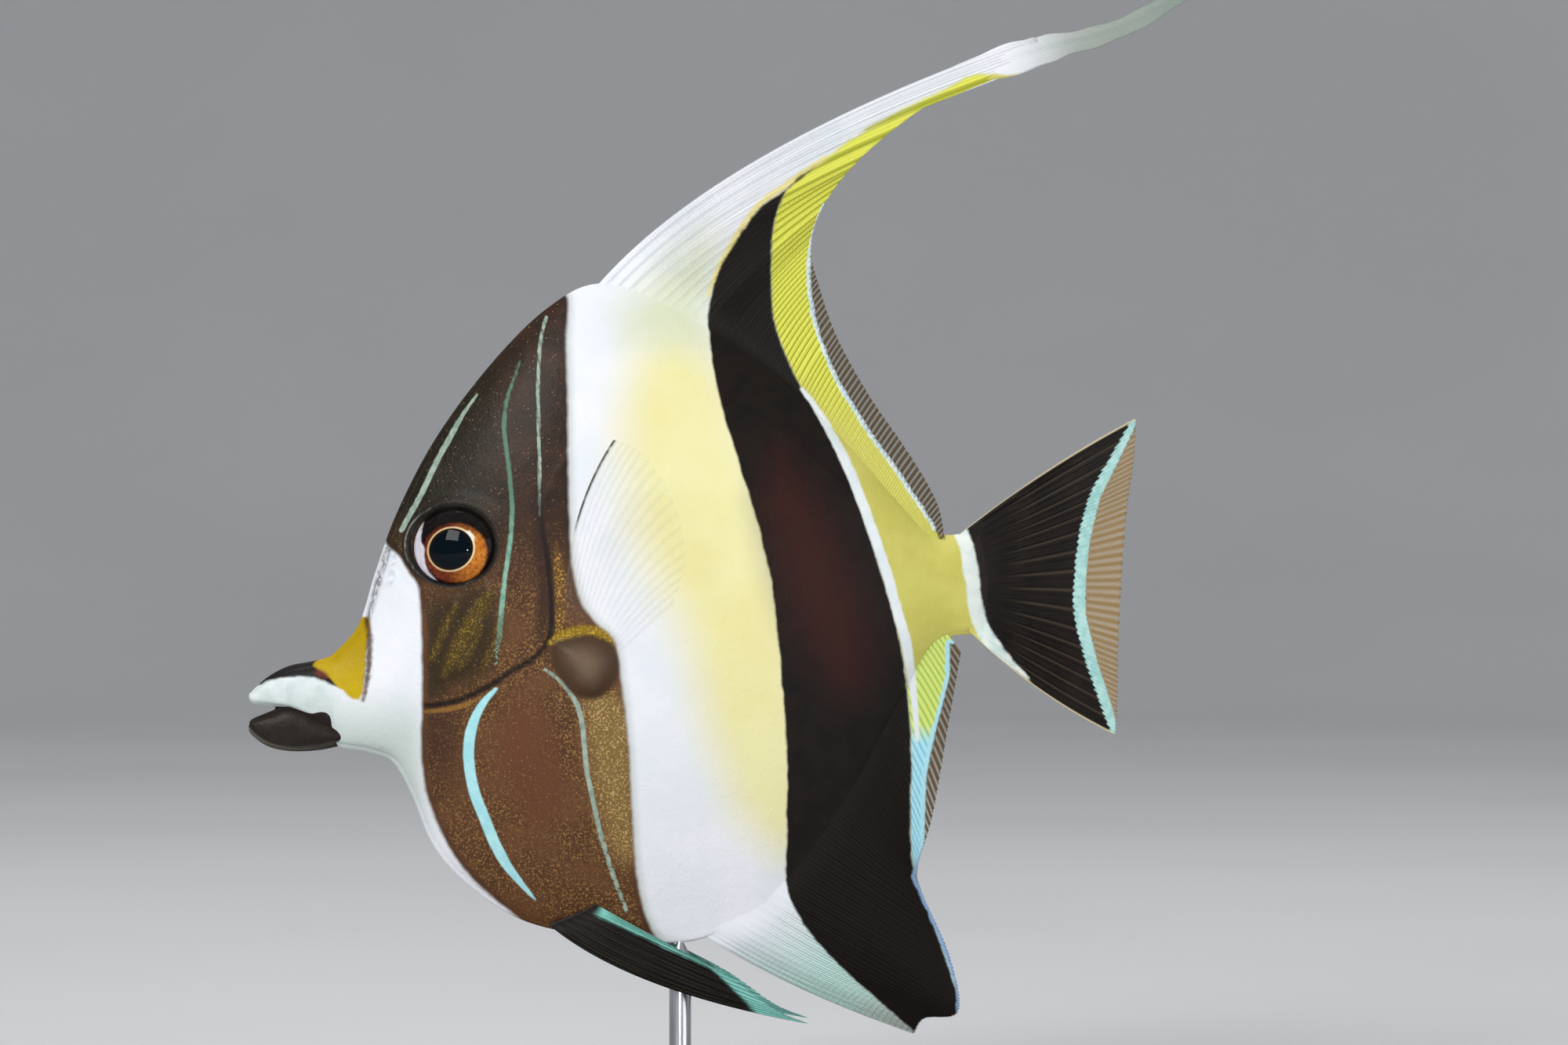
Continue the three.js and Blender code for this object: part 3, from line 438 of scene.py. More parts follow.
# Distances from outlines and lines in the plane of the flank, negative inside
def path_gap(x, z, path, halves):
    """Distance to a path less its half-width there."""
    best = np.full(x.shape, 1e9)
    for (ax, az), (bx, bz), ha, hb in zip(path[:-1], path[1:], halves[:-1], halves[1:]):
        dx, dz = bx - ax, bz - az
        t = np.clip(((x - ax) * dx + (z - az) * dz) / max(dx * dx + dz * dz, 1e-9), 0, 1)
        gap = np.hypot(x - ax - t * dx, z - az - t * dz) - ha - t * (hb - ha)
        best = np.minimum(best, gap)
    return best


def line_gap(x, z, line, per_row=5):
    """Distance to the edge of a tapering line through points."""
    points, first, middle, last = line
    count = (len(points) - 1) * per_row + 1
    path = through(points, np.linspace(0, len(points) - 1, count))
    halves = np.interp(np.linspace(0, 1, count), [0, 0.25, 0.75, 1], [first, middle, middle, last])
    return path_gap(x, z, path, halves)


def area_gap(x, z, outline):
    """Signed distance to a closed outline."""
    ring = np.array(list(outline) + [outline[0]], float)
    inside = np.zeros(x.shape, bool)
    for (ax, az), (bx, bz) in zip(ring[:-1], ring[1:]):
        if az != bz:
            inside ^= ((az > z) != (bz > z)) & (x < (bx - ax) * (z - az) / (bz - az) + ax)
    gap = path_gap(x, z, ring, np.zeros(len(ring)))
    return np.where(inside, -gap, gap)


def oval_gap(x, z, oval):
    """Distance to a tilted oval, nearly true close to its edge."""
    middle_x, middle_z, half_x, half_z, tilt = oval
    across, up = x - middle_x, z - middle_z
    along_x = across * math.cos(tilt) + up * math.sin(tilt)
    along_z = up * math.cos(tilt) - across * math.sin(tilt)
    return (np.hypot(along_x / half_x, along_z / half_z) - 1) * (half_x + half_z) / 2


def rounded(points, per_row=4):
    """Points on a smooth curve through an open outline."""
    return list(through(points, np.linspace(0, len(points) - 1, (len(points) - 1) * per_row + 1)))


def nearest(lines):
    """Field of the closest of several lines."""
    return lambda x, z: np.min([line_gap(x, z, line) for line in lines], axis=0)


def field_of(gap, shape):
    """Field of one shape."""
    return lambda x, z: gap(x, z, shape)


FIELDS = {
    "black": field_of(area_gap, rounded(BLACK_FRONT) + rounded(BLACK_REAR)),
    "rear": field_of(area_gap, rounded(BLACK_REAR) + REAR_REST),
    "tail_black": field_of(area_gap, rounded(LINES["tail_base"][0]) + TAIL_REST),
    "grey": nearest(GREY_LINES),
    "cheek": nearest([(path, 0.2, wide, 0.2) for path, wide in zip(CHEEK_RIDGES, CHEEK_WIDTHS)]),
    "eye_ring": lambda x, z: np.abs(oval_gap(x, z, EYE_RING)) - 0.85,
    # Painted glints: a thin pale ring just inside the dark ring round the eye
    "eye_glint_arc": lambda x, z: np.abs(oval_gap(x, z, EYE_RING) - 0.35) - 0.14,
}
FIELDS.update({name: field_of(area_gap, rounded(outline)) for name, outline in AREAS.items()})
FIELDS.update({name: field_of(area_gap, outline) for name, outline in CLEAR.items()})
FIELDS.update({name: field_of(line_gap, line) for name, line in LINES.items()})
FIELDS.update({name: field_of(oval_gap, oval) for name, oval in OVALS.items()})


# Meshes
def band_faces(rows, around):
    """Ring and place on it of each corner of the faces between closed rings."""
    i, k = (a.ravel() for a in np.meshgrid(np.arange(rows - 1), np.arange(around), indexing="ij"))
    return np.stack([i, i, i + 1, i + 1], 1), np.stack([k, k + 1, k + 1, k], 1)


def sheet_faces(rows, around):
    """Faces over rings of one length, closed by strips at both ends, with unrolled places."""
    corner_i, corner_k = band_faces(rows, around)
    faces = [corner_i * around + corner_k % around]
    places = [np.stack([corner_k / around, corner_i / (rows - 1)], -1)]
    k = np.arange(around // 2 - 1)
    strip = np.stack([k, around - 1 - k, around - 2 - k, k + 1], 1)
    for row, order in ((0, 1), (rows - 1, -1)):
        faces.append(row * around + strip[:, ::order])
        places.append(np.stack([strip[:, ::order] / around, np.full(strip.shape, row / (rows - 1))], -1))
    return np.vstack(faces), np.concatenate(places)


def joined(parts):
    """Points, faces, unrolled places and extra values of several closed sheets."""
    points, faces, uvs, extras = [], [], [], {}
    start = 0
    for rings, uv_box, extra in parts:
        rows, around = rings.shape[:2]
        quads, places = sheet_faces(rows, around)
        points.append(rings.reshape(-1, 3))
        faces.append(quads + start)
        low, high = np.array(uv_box[:2]), np.array(uv_box[2:])
        uvs.append(low + places * (high - low))
        for key, value in extra.items():
            extras.setdefault(key, []).append(np.broadcast_to(value, (rows, around)).ravel())
        start += rows * around
    extras = {key: np.concatenate(value) for key, value in extras.items()}
    return np.vstack(points), np.vstack(faces), np.concatenate(uvs), extras


def added(name, data):
    """A new object in the scene."""
    made = bpy.data.objects.new(name, data)
    bpy.context.scene.collection.objects.link(made)
    return made


def mesh_piece(name, parts, replaced, paint):
    """One object over closed sheets, with the fields that its paint reads as attributes."""
    points, faces, uvs, values = joined(parts)
    mesh = bpy.data.meshes.new(name)
    mesh.from_pydata((points * MM).tolist(), [], faces.tolist())
    mesh.uv_layers.new(name="OFBake").data.foreach_set("uv", uvs.astype(np.float32).ravel())
    x, z = seen(points)
    values.update({field: FIELDS[field](x, z) for field in paint.fields if field in FIELDS})
    for key, value in values.items():
        mesh.attributes.new(key, "FLOAT", "POINT").data.foreach_set("value", value.astype(np.float32))
    mesh.shade_smooth()
    mesh.materials.append(paint.material)
    piece = added(name, mesh)
    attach(piece, "root")
    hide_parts(*replaced)


def spread(counts):
    """Places along a table with a number of steps in each row."""
    steps = [np.arange(count) / count + row for row, count in enumerate(counts)]
    return np.concatenate(steps + [[len(counts)]])


def edge_cap(rows, ahead, column, turn, count=5):
    """Points that round the ridge of the back or of the belly."""
    dx, dz = ahead[:, column:column + 1], ahead[:, column + 1:column + 2]
    ridge = rows[:, 7:8]
    angle = np.linspace(0, math.pi, count + 2)[1:-1]
    out = turn * 0.8 * ridge * np.sin(angle) / np.hypot(dx, dz)
    x = rows[:, column:column + 1] - out * dz
    z = rows[:, column + 1:column + 2] + out * dx
    return np.stack([x, turn * ridge * np.cos(angle), z], -1)


def loft(table, places, arc):
    """Rings over the stations of a table: up one side, over the back, down the other side."""
    rows = through(table, places)
    ahead = through(table, places + 0.01) - rows
    even = np.linspace(0, 1, arc)
    t = 0.6 * even + 0.4 * (1 - np.cos(math.pi * even)) / 2
    lagrange = np.stack([2 * t * (t - 0.5), -4 * t * (t - 1), 2 * (t - 0.5) * (t - 1)])
    x = rows[:, [0, 2, 4]] @ lagrange
    z = rows[:, [1, 3, 5]] @ lagrange
    half, ridge, sharp = rows[:, 6:7], rows[:, 7:8], rows[:, 8:9]
    y = ridge + (half - ridge) * np.maximum(4 * t * (1 - t), 0) ** sharp
    side = np.stack([x, y, z], -1)
    back, belly = edge_cap(rows, ahead, 0, 1), edge_cap(rows, ahead, 4, -1)
    return np.concatenate([side, back, side[:, ::-1] * (1, -1, 1), belly], 1)


def outward(rings):
    """Unit normals of closed rings."""
    around = np.roll(rings, -1, 1) - np.roll(rings, 1, 1)
    forward = np.gradient(rings, axis=0)
    normal = np.cross(around, forward)
    normal /= np.maximum(np.linalg.norm(normal, axis=-1, keepdims=True), 1e-9)
    middle = rings.shape[1] // 4
    if normal[rings.shape[0] // 2, middle, 1] * rings[rings.shape[0] // 2, middle, 1] < 0:
        normal = -normal
    return normal


def gill_relief(x, z):
    """The raised edge of the gill cover and its crease, fading at both ends."""
    gap = area_gap(x, z, rounded(GILL) + GILL_FRONT)
    ends = fade(z, *GILL_TOP) * fade(x, *GILL_END)
    (rise, before), (drop, behind) = GILL_RISE, GILL_DROP
    step = np.where(gap < 0, rise * np.exp(gap / before), drop * np.exp(-gap / behind))
    return ends * (step + ridge_over(gap, *RELIEF["gill_crease"]))


def relief(rings):
    """Height of the skin's features over the flank."""
    ring = np.hypot((rings[..., 0] - EYE[0]) / ORBIT[0], (rings[..., 2] - EYE[1]) / ORBIT[1])
    height = ridge_over(ring, *RELIEF["orbit_rim"]) + ridge_over(ring, *RELIEF["orbit_fold"])
    height += SOCKET[0] * fade(ring, *SOCKET[1:])
    x, z = seen(rings)
    height += gill_relief(x, z)
    for path in CHEEK_RIDGES:
        height += ridge_over(line_gap(x, z, (path, 0, 0, 0)), *RELIEF["cheek_ridge"])
    lobe = FIELDS["lobe"](x, z)
    height += LOBE_RISE[0] * np.sqrt(smooth(-lobe / LOBE_RISE[1])) + ridge_over(lobe, *RELIEF["lobe_groove"])
    for nostril_x, nostril_z, radius in NOSTRILS:
        away = np.hypot(x - nostril_x, z - nostril_z) / radius
        height += ridge_over(away, *RELIEF["nostril_rim"]) + NOSTRIL_PIT[0] * fade(away, *NOSTRIL_PIT[1:])
    return height + ridge_over(line_gap(x, z, (LATERAL_LINE, 0, 0, 0)), *RELIEF["pores"])


def skin_parts(rings):
    """The skin with its relief, the lower jaw and the inside of the mouth."""
    flank = smooth((np.abs(rings[..., 1]) - 1.2) / 1.5)
    above_edge = rings[..., 2] - rings[..., 2].min(axis=1, keepdims=True)
    lip = fade(rings[..., 0], -74.0, -70.0) * ridge_over(above_edge, *RELIEF["lip"])
    height = relief(rings) * flank + lip
    return [
        (rings + outward(rings) * height[..., None], MAIN_MAP, {"jaw": 1.0}),
        (loft(LOWER_JAW, spread([8] * 7), 36), JAW_MAP, {"jaw": -1.0}),
        (loft(MOUTH, spread([4] * 4), 20), MOUTH_MAP, {"jaw": -2.0}),
    ]


def flank_half(rings, x, z):
    """Half-width of the flank at a place, from the nearest points of the skin's right side."""
    side = rings[:, :SKIN_ARC].reshape(-1, 3)
    away = np.hypot(side[:, 0] - x, side[:, 2] - z)
    near = np.argsort(away)[:4]
    weight = 1 / (away[near] + 1e-6)
    return float((side[near, 1] * weight).sum() / weight.sum())


# Fins
def ray_profile(phase, run, splits):
    """Height of a ray over the web, 0 to 1, where rays branch in two and in four."""
    first, second = (smooth((run - split) / 0.25) for split in splits)
    width = RAY_WIDTHS[0] - RAY_WIDTHS[1] * first - RAY_WIDTHS[2] * second
    height = 0
    for side in (-1, 1):
        for twig in (-1, 1):
            middle = 0.5 + side * (BRANCHES[0] * first + twig * BRANCHES[1] * second)
            height = np.maximum(height, ridge_over(phase, 1, middle, width))
    return height


def bezier(curve, v):
    """Points of the curves at shares of their length."""
    root, bend, tip = (curve[:, k, None, :] for k in range(3))
    v = v[..., None]
    at = (1 - v) ** 2 * root + 2 * v * (1 - v) * bend + v * v * tip
    return at[..., 0], at[..., 1]


def key_curves(fin, columns):
    """Root, bend and tip of the curve of each column, between the key rays."""
    keys = fin["keys"]
    shares = fin.get("shares", [1] * (len(keys) - 1))
    marks = np.concatenate([[0], np.cumsum(shares)]) / sum(shares)
    places = np.interp(np.linspace(0, 1, columns + 1), marks, np.arange(len(keys)))
    return through(keys, places).reshape(-1, 3, 2)


def curve_ends(curve, beyond, steps=160):
    """How far each curve runs, 0 to 1, before it meets the trimming area."""
    x, z = bezier(curve, np.linspace(0, 1, steps + 1)[None, :])
    gap = area_gap(x, z, beyond)
    past = gap < 0
    first = np.where(past.any(1), past.argmax(1), steps)
    row = np.arange(len(curve))
    before, after = gap[row, np.maximum(first - 1, 0)], gap[row, first]
    part = np.where(past.any(1), before / np.maximum(before - after, 1e-6), 1)
    return (np.maximum(first - 1, 0) + part) / steps


def fin_half(fin, ray, run, far):
    """Half the thickness of a fin: a thin web, ribs along the rays and a stouter root."""
    spine = 1 + SPINE_EXTRA * (ray < fin["spines"])
    closing = 1 - smooth((run - 0.75) / 0.25) * (ray < fin["spines"] + 2)
    closing = closing * smooth((far - 0.5 * fin["root_run"]) / (1.5 * fin["root_run"]))
    rib = (fin["ridge"] * (1 - 0.5 * run) * spine - WEB) * ray_profile(ray % 1.0, run, fin["splits"])
    root = fin["root_half"] * np.exp(-far / fin["root_run"]) * smooth(0.35 + ray / 5)
    return WEB + rib * closing + root


def fin_part(fin, uv_box, side=1, beyond=None):
    """A thin closed sheet over key rays, with each ray raised on both faces."""
    columns = fin["rays"] * fin["per_ray"]
    curve = key_curves(fin, columns)
    ends = 1.0 if beyond is None else curve_ends(curve, beyond)[:, None]
    length = np.hypot(*(curve[:, 2] - curve[:, 0]).T)[:, None]
    ray = np.linspace(0, fin["rays"], columns + 1)[:, None]
    tips = ray_profile(ray % 1.0, np.ones_like(ray), fin["splits"])
    reach = ends - fin["fringe"] * (1 - tips) / length
    run = np.linspace(0, 1, fin["rows"] + 1)[None, :]
    x, z = bezier(curve, run * reach)
    far = run * reach * length
    half = fin_half(fin, ray, run, far)
    root_y, flare = fin["pose"]
    y = side * (root_y + flare * far) + fin["wave"] * np.sin(ray * 0.9 + far * 0.05) * smooth(far / 30)
    front = np.stack([x, y + half, z], -1)
    back = np.stack([x, y - half, z], -1)[::-1]
    extra = {"ray": ray + 0 * run, "run": run + 0 * ray, "rim": (1 - run) * reach * length}
    extra = {key: np.concatenate([value, value[::-1]], 0).T for key, value in extra.items()}
    return np.concatenate([front, back], 0).transpose(1, 0, 2), uv_box, extra


def filament_part(uv_box, steps=150, across=13):
    """The trailing filament: a tapering band with a rib along it, which starts inside the fin."""
    places = np.linspace(0, len(FILAMENT) - 1, steps)
    rows = through(FILAMENT, places)
    ahead = through(FILAMENT, places + 0.01) - rows
    square = np.stack([-ahead[:, 1], ahead[:, 0]], 1) / np.hypot(ahead[:, 0], ahead[:, 1])[:, None]
    w = np.linspace(-1, 1, across)
    rib = sum(ridge_over(w, *rib) for rib in FILAMENT_RIBS)
    places = places[:, None]
    swell = smooth(places / 2.2) * (1 - 0.55 * places / places[-1])
    half = 0.1 + swell * (0.16 + 0.42 * rib) * np.sqrt(np.maximum(1.02 - w * w, 0))
    offset = rows[:, 2:] * w * (1 + 0.07 * np.sin(places * 5.1))
    x = rows[:, :1] + square[:, :1] * offset
    z = rows[:, 1:2] + square[:, 1:] * offset
    sway = 0.8 * np.sin(places * 0.8) * smooth((places - 3) / 4)
    front = np.stack([x, sway + half, z], -1)
    back = np.stack([x, sway - half, z], -1)[:, ::-1]
    ray = np.concatenate([w, w[::-1]]) * 2.0 + 40.5
    return np.concatenate([front, back], 1), uv_box, {"ray": ray, "run": places / places[-1], "rim": 9.0}


def dorsal_parts():
    """The dorsal fin, trimmed along its rear edge, and its filament."""
    edge = rounded(DORSAL_EDGE)
    beyond = edge + [(edge[-1][0] + 20, edge[-1][1]), (95.0, 160.0), (95.0, edge[0][1])]
    return [fin_part(DORSAL, MAIN_MAP, beyond=beyond), filament_part(TOP_MAP)]


# Eyes and stand
def eye_seat(skin):
    """Half-width of the flank at the eye, with its lean and its turn there."""
    x, z = EYE
    lower, upper = (flank_half(skin, x, z + way * EYE_REACH) for way in (-1, 1))
    front, rear = (flank_half(skin, x + way * EYE_REACH, z) for way in (-1, 1))
    lean = math.atan2(lower - upper, 2 * EYE_REACH)
    turn = math.atan2(rear - front, 2 * EYE_REACH)
    return flank_half(skin, x, z), lean, turn


def eye_part(side, skin):
    """An eyeball with a swollen cornea, turned square to the flank."""
    at, lean, turn = eye_seat(skin)
    out = EYE_PROUD - EYE_SIZE[1]
    polar = (math.pi * np.linspace(0.004, 0.996, 72) ** 1.25)[:, None]
    x = EYE_SIZE[0] * np.sin(polar) * np.cos(circle(96))
    z = EYE_SIZE[2] * np.sin(polar) * np.sin(circle(96))
    cornea = CORNEA[0] * np.exp(-((np.hypot(x, z) / CORNEA[1]) ** 4))
    y = EYE_SIZE[1] * np.cos(polar) + cornea * (polar < math.pi / 2)
    y, z = y * math.cos(lean) - z * math.sin(lean), y * math.sin(lean) + z * math.cos(lean)
    x, y = x * math.cos(turn) - y * math.sin(turn), x * math.sin(turn) + y * math.cos(turn)
    x = x + EYE[0] - out * math.sin(turn)
    y = y + at + out * math.cos(turn) * math.cos(lean)
    z = z + EYE[1] + out * math.sin(lean)
    return np.stack([x, side * y, z], -1), FULL_MAP, {}


def base_part():
    """A flat board with round ends and a soft edge."""
    end, middle = STAND["width"] / 2, (STAND["length"] - STAND["width"]) / 2
    turn = np.linspace(-math.pi / 2, math.pi / 2, 49)
    bow = np.stack([np.cos(turn), np.sin(turn)], 1)
    normal = np.concatenate([bow, -bow])
    outline = normal * end + np.repeat([[middle, 0], [-middle, 0]], len(turn), axis=0)
    edge, height = STAND["edge"], STAND["height"]
    profile = [(end - 0.4, 0.0), (0.4, 0.0), (0.12, 0.12), (0.0, 0.4)]
    for angle in np.linspace(0, math.pi / 2, 9):
        profile.append((edge - edge * math.cos(angle), height - edge + edge * math.sin(angle)))
    profile += [(end * 0.5, height), (end - 0.4, height)]
    rings = [np.column_stack([outline - normal * inset, np.full(len(outline), z)]) for inset, z in profile]
    return np.roll(np.array(rings), 24, axis=1), FULL_MAP, {}


def rod_part():
    """The turned rod with its foot."""
    turn = circle(48)
    rings = [np.stack([ROD_X + r * np.cos(turn), r * np.sin(turn), 0 * turn + z], 1) for r, z in ROD]
    return np.array(rings), FULL_MAP, {}


# Materials
def rgb(colour):
    """Linear colour from one given as sRGB in hex."""
    if isinstance(colour, bpy.types.NodeSocket):
        return colour
    parts = [value / 255 for value in bytes.fromhex(colour)]
    return (*[c / 12.92 if c <= 0.04045 else ((c + 0.055) / 1.055) ** 2.4 for c in parts], 1)


class Paint:
    """Builds one procedural material over the marking fields of a mesh."""

    def __init__(self, name, roughness, **settings):
        self.material = bpy.data.materials.new(name)
        self.material.use_nodes = True
        self.tree = self.material.node_tree
        self.shader = self.tree.nodes["Principled BSDF"]
        self.shader.inputs["Roughness"].default_value = roughness
        for key, value in settings.items():
            self.shader.inputs[key.replace("_", " ")].default_value = value
        self.place = self.node("ShaderNodeTexCoord").outputs["Object"]
        self.colour = None
        self.fields = []

    def node(self, kind, **settings):
        made = self.tree.nodes.new(kind)
        for key, value in settings.items():
            setattr(made, key, value)
        return made

    def put(self, socket, value):
        if isinstance(value, bpy.types.NodeSocket):
            self.tree.links.new(value, socket)
        else:
            socket.default_value = value

    def axis(self, name):
        """One coordinate of the place, in metres."""
        split = self.node("ShaderNodeSeparateXYZ")
        self.put(split.inputs[0], self.place)
        return split.outputs[name]

    def field(self, name):
        """A value that the mesh carries."""
        if name not in self.fields:
            self.fields.append(name)
        return self.node("ShaderNodeAttribute", attribute_name=name).outputs["Fac"]

    def math(self, operation, a, b=0, c=0):
        made = self.node("ShaderNodeMath", operation=operation)
        for socket, value in zip(made.inputs, (a, b, c)):
            self.put(socket, value)
        return made.outputs[0]

    def both(self, *masks):
        """Product of masks and numbers."""
        product = masks[0]
        for mask in masks[1:]:
            product = self.math("MULTIPLY", product, mask)
        return product

    def flip(self, mask):
        """1 where a mask is 0."""
        return self.math("SUBTRACT", 1, mask)

    def texture(self, kind, size, stretch):
        """A texture with features of a size in millimetres."""
        place = self.node("ShaderNodeMapping")
        self.put(place.inputs["Vector"], self.place)
        place.inputs["Scale"].default_value = stretch
        made = self.node(kind)
        self.put(made.inputs["Vector"], place.outputs[0])
        made.inputs["Scale"].default_value = 1 / (size * MM)
        return made

    def noise(self, size, detail=2, roughness=0.5, stretch=(1, 1, 1)):
        made = self.texture("ShaderNodeTexNoise", size, stretch)
        made.inputs["Detail"].default_value = detail
        made.inputs["Roughness"].default_value = roughness
        return made.outputs["Fac"]

    def cells(self, size, stretch=(1, 1, 1)):
        return self.texture("ShaderNodeTexVoronoi", size, stretch).outputs["Distance"]

    def step(self, value, start, end, low=0, high=1):
        """Soft step between two values: low up to start, high from end on."""
        made = self.node("ShaderNodeMapRange", interpolation_type="SMOOTHSTEP")
        self.put(made.inputs["Value"], value)
        made.inputs["From Min"].default_value = min(start, end)
        made.inputs["From Max"].default_value = max(start, end)
        made.inputs["To Min"].default_value = low if start < end else high
        made.inputs["To Max"].default_value = high if start < end else low
        return made.outputs["Result"]

    def mix(self, fac, a, b):
        made = self.node("ShaderNodeMix", data_type="RGBA")
        self.put(made.inputs[0], fac)
        self.put(made.inputs[6], rgb(a))
        self.put(made.inputs[7], rgb(b))
        return made.outputs[2]

    def wobbly(self, name, wobble, size):
        """A marking field with an uneven edge."""
        if not wobble:
            return self.field(name)
        return self.math("MULTIPLY_ADD", self.noise(size, 3), 2 * wobble,
                         self.math("SUBTRACT", self.field(name), wobble))

    def area(self, name, soft, wobble=0, size=4, amount=1, shift=0):
        """1 inside a marking, 0 outside."""
        return self.step(self.wobbly(name, wobble, size), shift + soft, shift - soft, 0, amount)

    def uneven(self, a, b, size):
        """Two colours in soft patches."""
        return self.mix(self.step(self.noise(size, 3), 0.35, 0.65), a, b)

    def lay(self, colour, *masks):
        """Paints a colour over what is there, as far as all masks let it."""
        self.colour = self.mix(self.both(*masks), self.colour, colour)

    def mark(self, colour, *place, **strength):
        """Paints a colour inside a marking."""
        self.lay(colour, self.area(*place, **strength))

    def bump(self, height, depth, base=None):
        """Adds surface relief, its depth in millimetres."""
        made = self.node("ShaderNodeBump")
        self.put(made.inputs["Height"], height)
        made.inputs["Distance"].default_value = depth * MM
        if base is not None:
            self.put(made.inputs["Normal"], base)
        return made.outputs["Normal"]

    def done(self, normal=None):
        self.put(self.shader.inputs["Base Color"], self.colour)
        if normal is not None:
            self.put(self.shader.inputs["Normal"], normal)
        return self


def body_markings(paint):
    """Colours that the skin shares with the fins that grow from it."""
    paint.colour = paint.uneven("eceef4", "e4e9f0", 14)
    yellow = paint.uneven("ece7ae", "e9e2a2", 18)
    paint.mark(yellow, "band_yellow", 8, 1.5, 20, shift=-1)
    paint.mark("ced6ac", "fin_base", 7, 1, amount=0.75)
    paint.mark(paint.uneven(*REAR_YELLOW, 8), "rear", 0.5, 0.4)
    paint.mark(paint.uneven(BLACK, "100c09", 5), "black", 0.35, 0.35, 3)


def skin_material():
    paint = Paint("fish_skin", 0.46, Specular_IOR_Level=0.16, Coat_Weight=0.03, Coat_Roughness=0.2)
    body_markings(paint)
    paint.mark("3a1813", "reddish", 8, 1, amount=0.8)
    paint.mark(paint.uneven("e8eef0", "dce6ea", 6), "white_line", 0.3, 0.25, 2)
    paint.mark("1c1612", "tail_black", 0.4)
    paint.mark(paint.uneven("e6ece6", "d6e2de", 3), "tail_base", 0.35, 0.4, 2)
    across, up = paint.axis("X"), paint.axis("Z")
    grains = paint.step(paint.noise(0.42, 2, 0.6), 0.5, 0.64)
    face_colours(paint, across, up)
    head_colours(paint, grains, across, up)
    head_lines(paint, grains, up)
    eye_surround(paint, grains)
    mouth_colours(paint, across, up)
    scales = paint.bump(paint.cells(0.5, (1, 1, 0.8)), 0.05)
    return paint.done(paint.bump(paint.noise(2.2, 3), 0.12, scales))


def face_colours(paint, across, up):
    """The white face with its speckled edge and the shaded throat."""
    specks = paint.step(paint.noise(1.2, 3, 0.6), 0.38, 0.62, 0.2, 0.85)
    paint.lay("4a4440", paint.area("face_edge", 0.5, 0.5, 1.2), specks)
    # Painted grey-green shade on the lower front of the face, by the throat.
    paint.lay("becbc5", paint.step(up, 0.094, 0.08), paint.step(across, -0.05, -0.058), 0.85)


def head_colours(paint, grains, across, up):
    """The dark band over the head, with its golden grains."""
    behind = paint.step(across, -0.034, -0.028)
    paint.lay("969e8e", paint.area("head", 1.3, 0.3, 3, shift=0.9), behind, 0.5)
    low = paint.uneven("603f28", "4e321f", 7)
    high = paint.uneven("362218", "271a13", 5)
    high = paint.mix(paint.step(across, -0.045, -0.034), "1d1911", high)
    paint.mark(paint.mix(paint.step(up, 0.1, 0.13), low, high), "head", 0.5, 0.3, 3)
    inside = paint.area("head", 0.6, shift=-1.2)
    cheek = paint.area("cheek_area", 3, 1.5, 5, 0.9)
    paint.lay("2c2312", inside, cheek)
    red = paint.area("chest_red", 3.5, 1.5, 5, 0.75)
    paint.lay("643c26", inside, red)
    patches = paint.step(paint.noise(7, 3), 0.34, 0.6, 0.35, 1)
    reach = paint.step(up, 0.13, 0.098, 0.1, 1)
    plain = paint.flip(paint.math("MAXIMUM", red, cheek))
    paint.lay("aa8046", grains, patches, reach, plain, inside, 0.65)
    paint.lay("d6ba84", paint.step(paint.cells(1.1), 0.16, 0.08), inside, 0.3)
    corner = paint.both(paint.step(across, -0.0425, -0.05), paint.step(up, 0.062, 0.08))
    paint.lay("342018", corner, paint.step(up, 0.089, 0.086), inside, 0.65)
    gold = paint.mix(grains, "866a3a", "c8ae70")
    paint.lay(gold, paint.area("gold", 3, 1, 4, 0.75), paint.area("head", 0.7, 0.4, 1.5))
    paint.mark(paint.mix(grains, "4e3d14", "92782e"), "cheek", 1, 0.6, 1.4, 0.85)


def head_lines(paint, grains, up):
    """Lines of the head and the edge of the gill cover."""
    paint.mark("2e1d18", "gill_shade", 1, 0.4, 2, 0.75)
    paint.mark(paint.mix(grains, "60421e", "c49642"), "gill_gold", 0.5, 0.5, 1.2, 0.85)
    paint.mark(paint.uneven("849a8e", "a4b4a6", 1.5), "grey", 0.14, 0.2, 1.2)
    fading = paint.math("MAXIMUM", paint.step(up, 0.096, 0.11), paint.both(grains, 0.7))
    teal = paint.uneven("689c88", "8cb8a4", 1.5)
    teal = paint.mix(paint.step(up, 0.132, 0.116), "547a66", teal)
    paint.lay(teal, paint.area("teal", 0.2, 0.24, 1.2), fading)
    paint.mark(paint.uneven("a0dce4", "b4e6ea", 2.5), "blue", 0.2, 0.12, 1.5)
    head = paint.area("head", 0.4, shift=-0.4)
    paint.lay("160d0a", head, paint.area("gill", 0.45, 0.2, 2, 0.97))
    paint.lay("966c2e", head, paint.area("gill_light", 0.3, 0.3, 1.5, 0.7))


def eye_surround(paint, grains):
    """Gill lobe with a painted highlight in its middle, the dark ring round the eye and painted glint arcs
    on it.
    """
    # The lobe, brown with a lighter middle that is a painted highlight on its dome.
    lobe = paint.mix(paint.area("lobe", 2.6, 0.8, 3, shift=-3.6), "4c3727", "6e5b4a")
    paint.mark(lobe, "lobe", 0.6, 0.2)
    paint.mark(paint.mix(grains, "886c16", "c4a426"), "lobe_rim", 0.55, 0.6, 1.1, 0.95)
    paint.mark(paint.uneven("201c18", "14110f", 3), "eye_ring", 0.3, 0.15, 2)
    # Painted glints: broken pale arcs on the dark ring round the eye.
    glint_arcs = paint.step(paint.noise(7, 1), 0.46, 0.6, 0.05, 0.8)
    paint.lay("96988c", paint.area("eye_glint_arc", 0.16), glint_arcs)


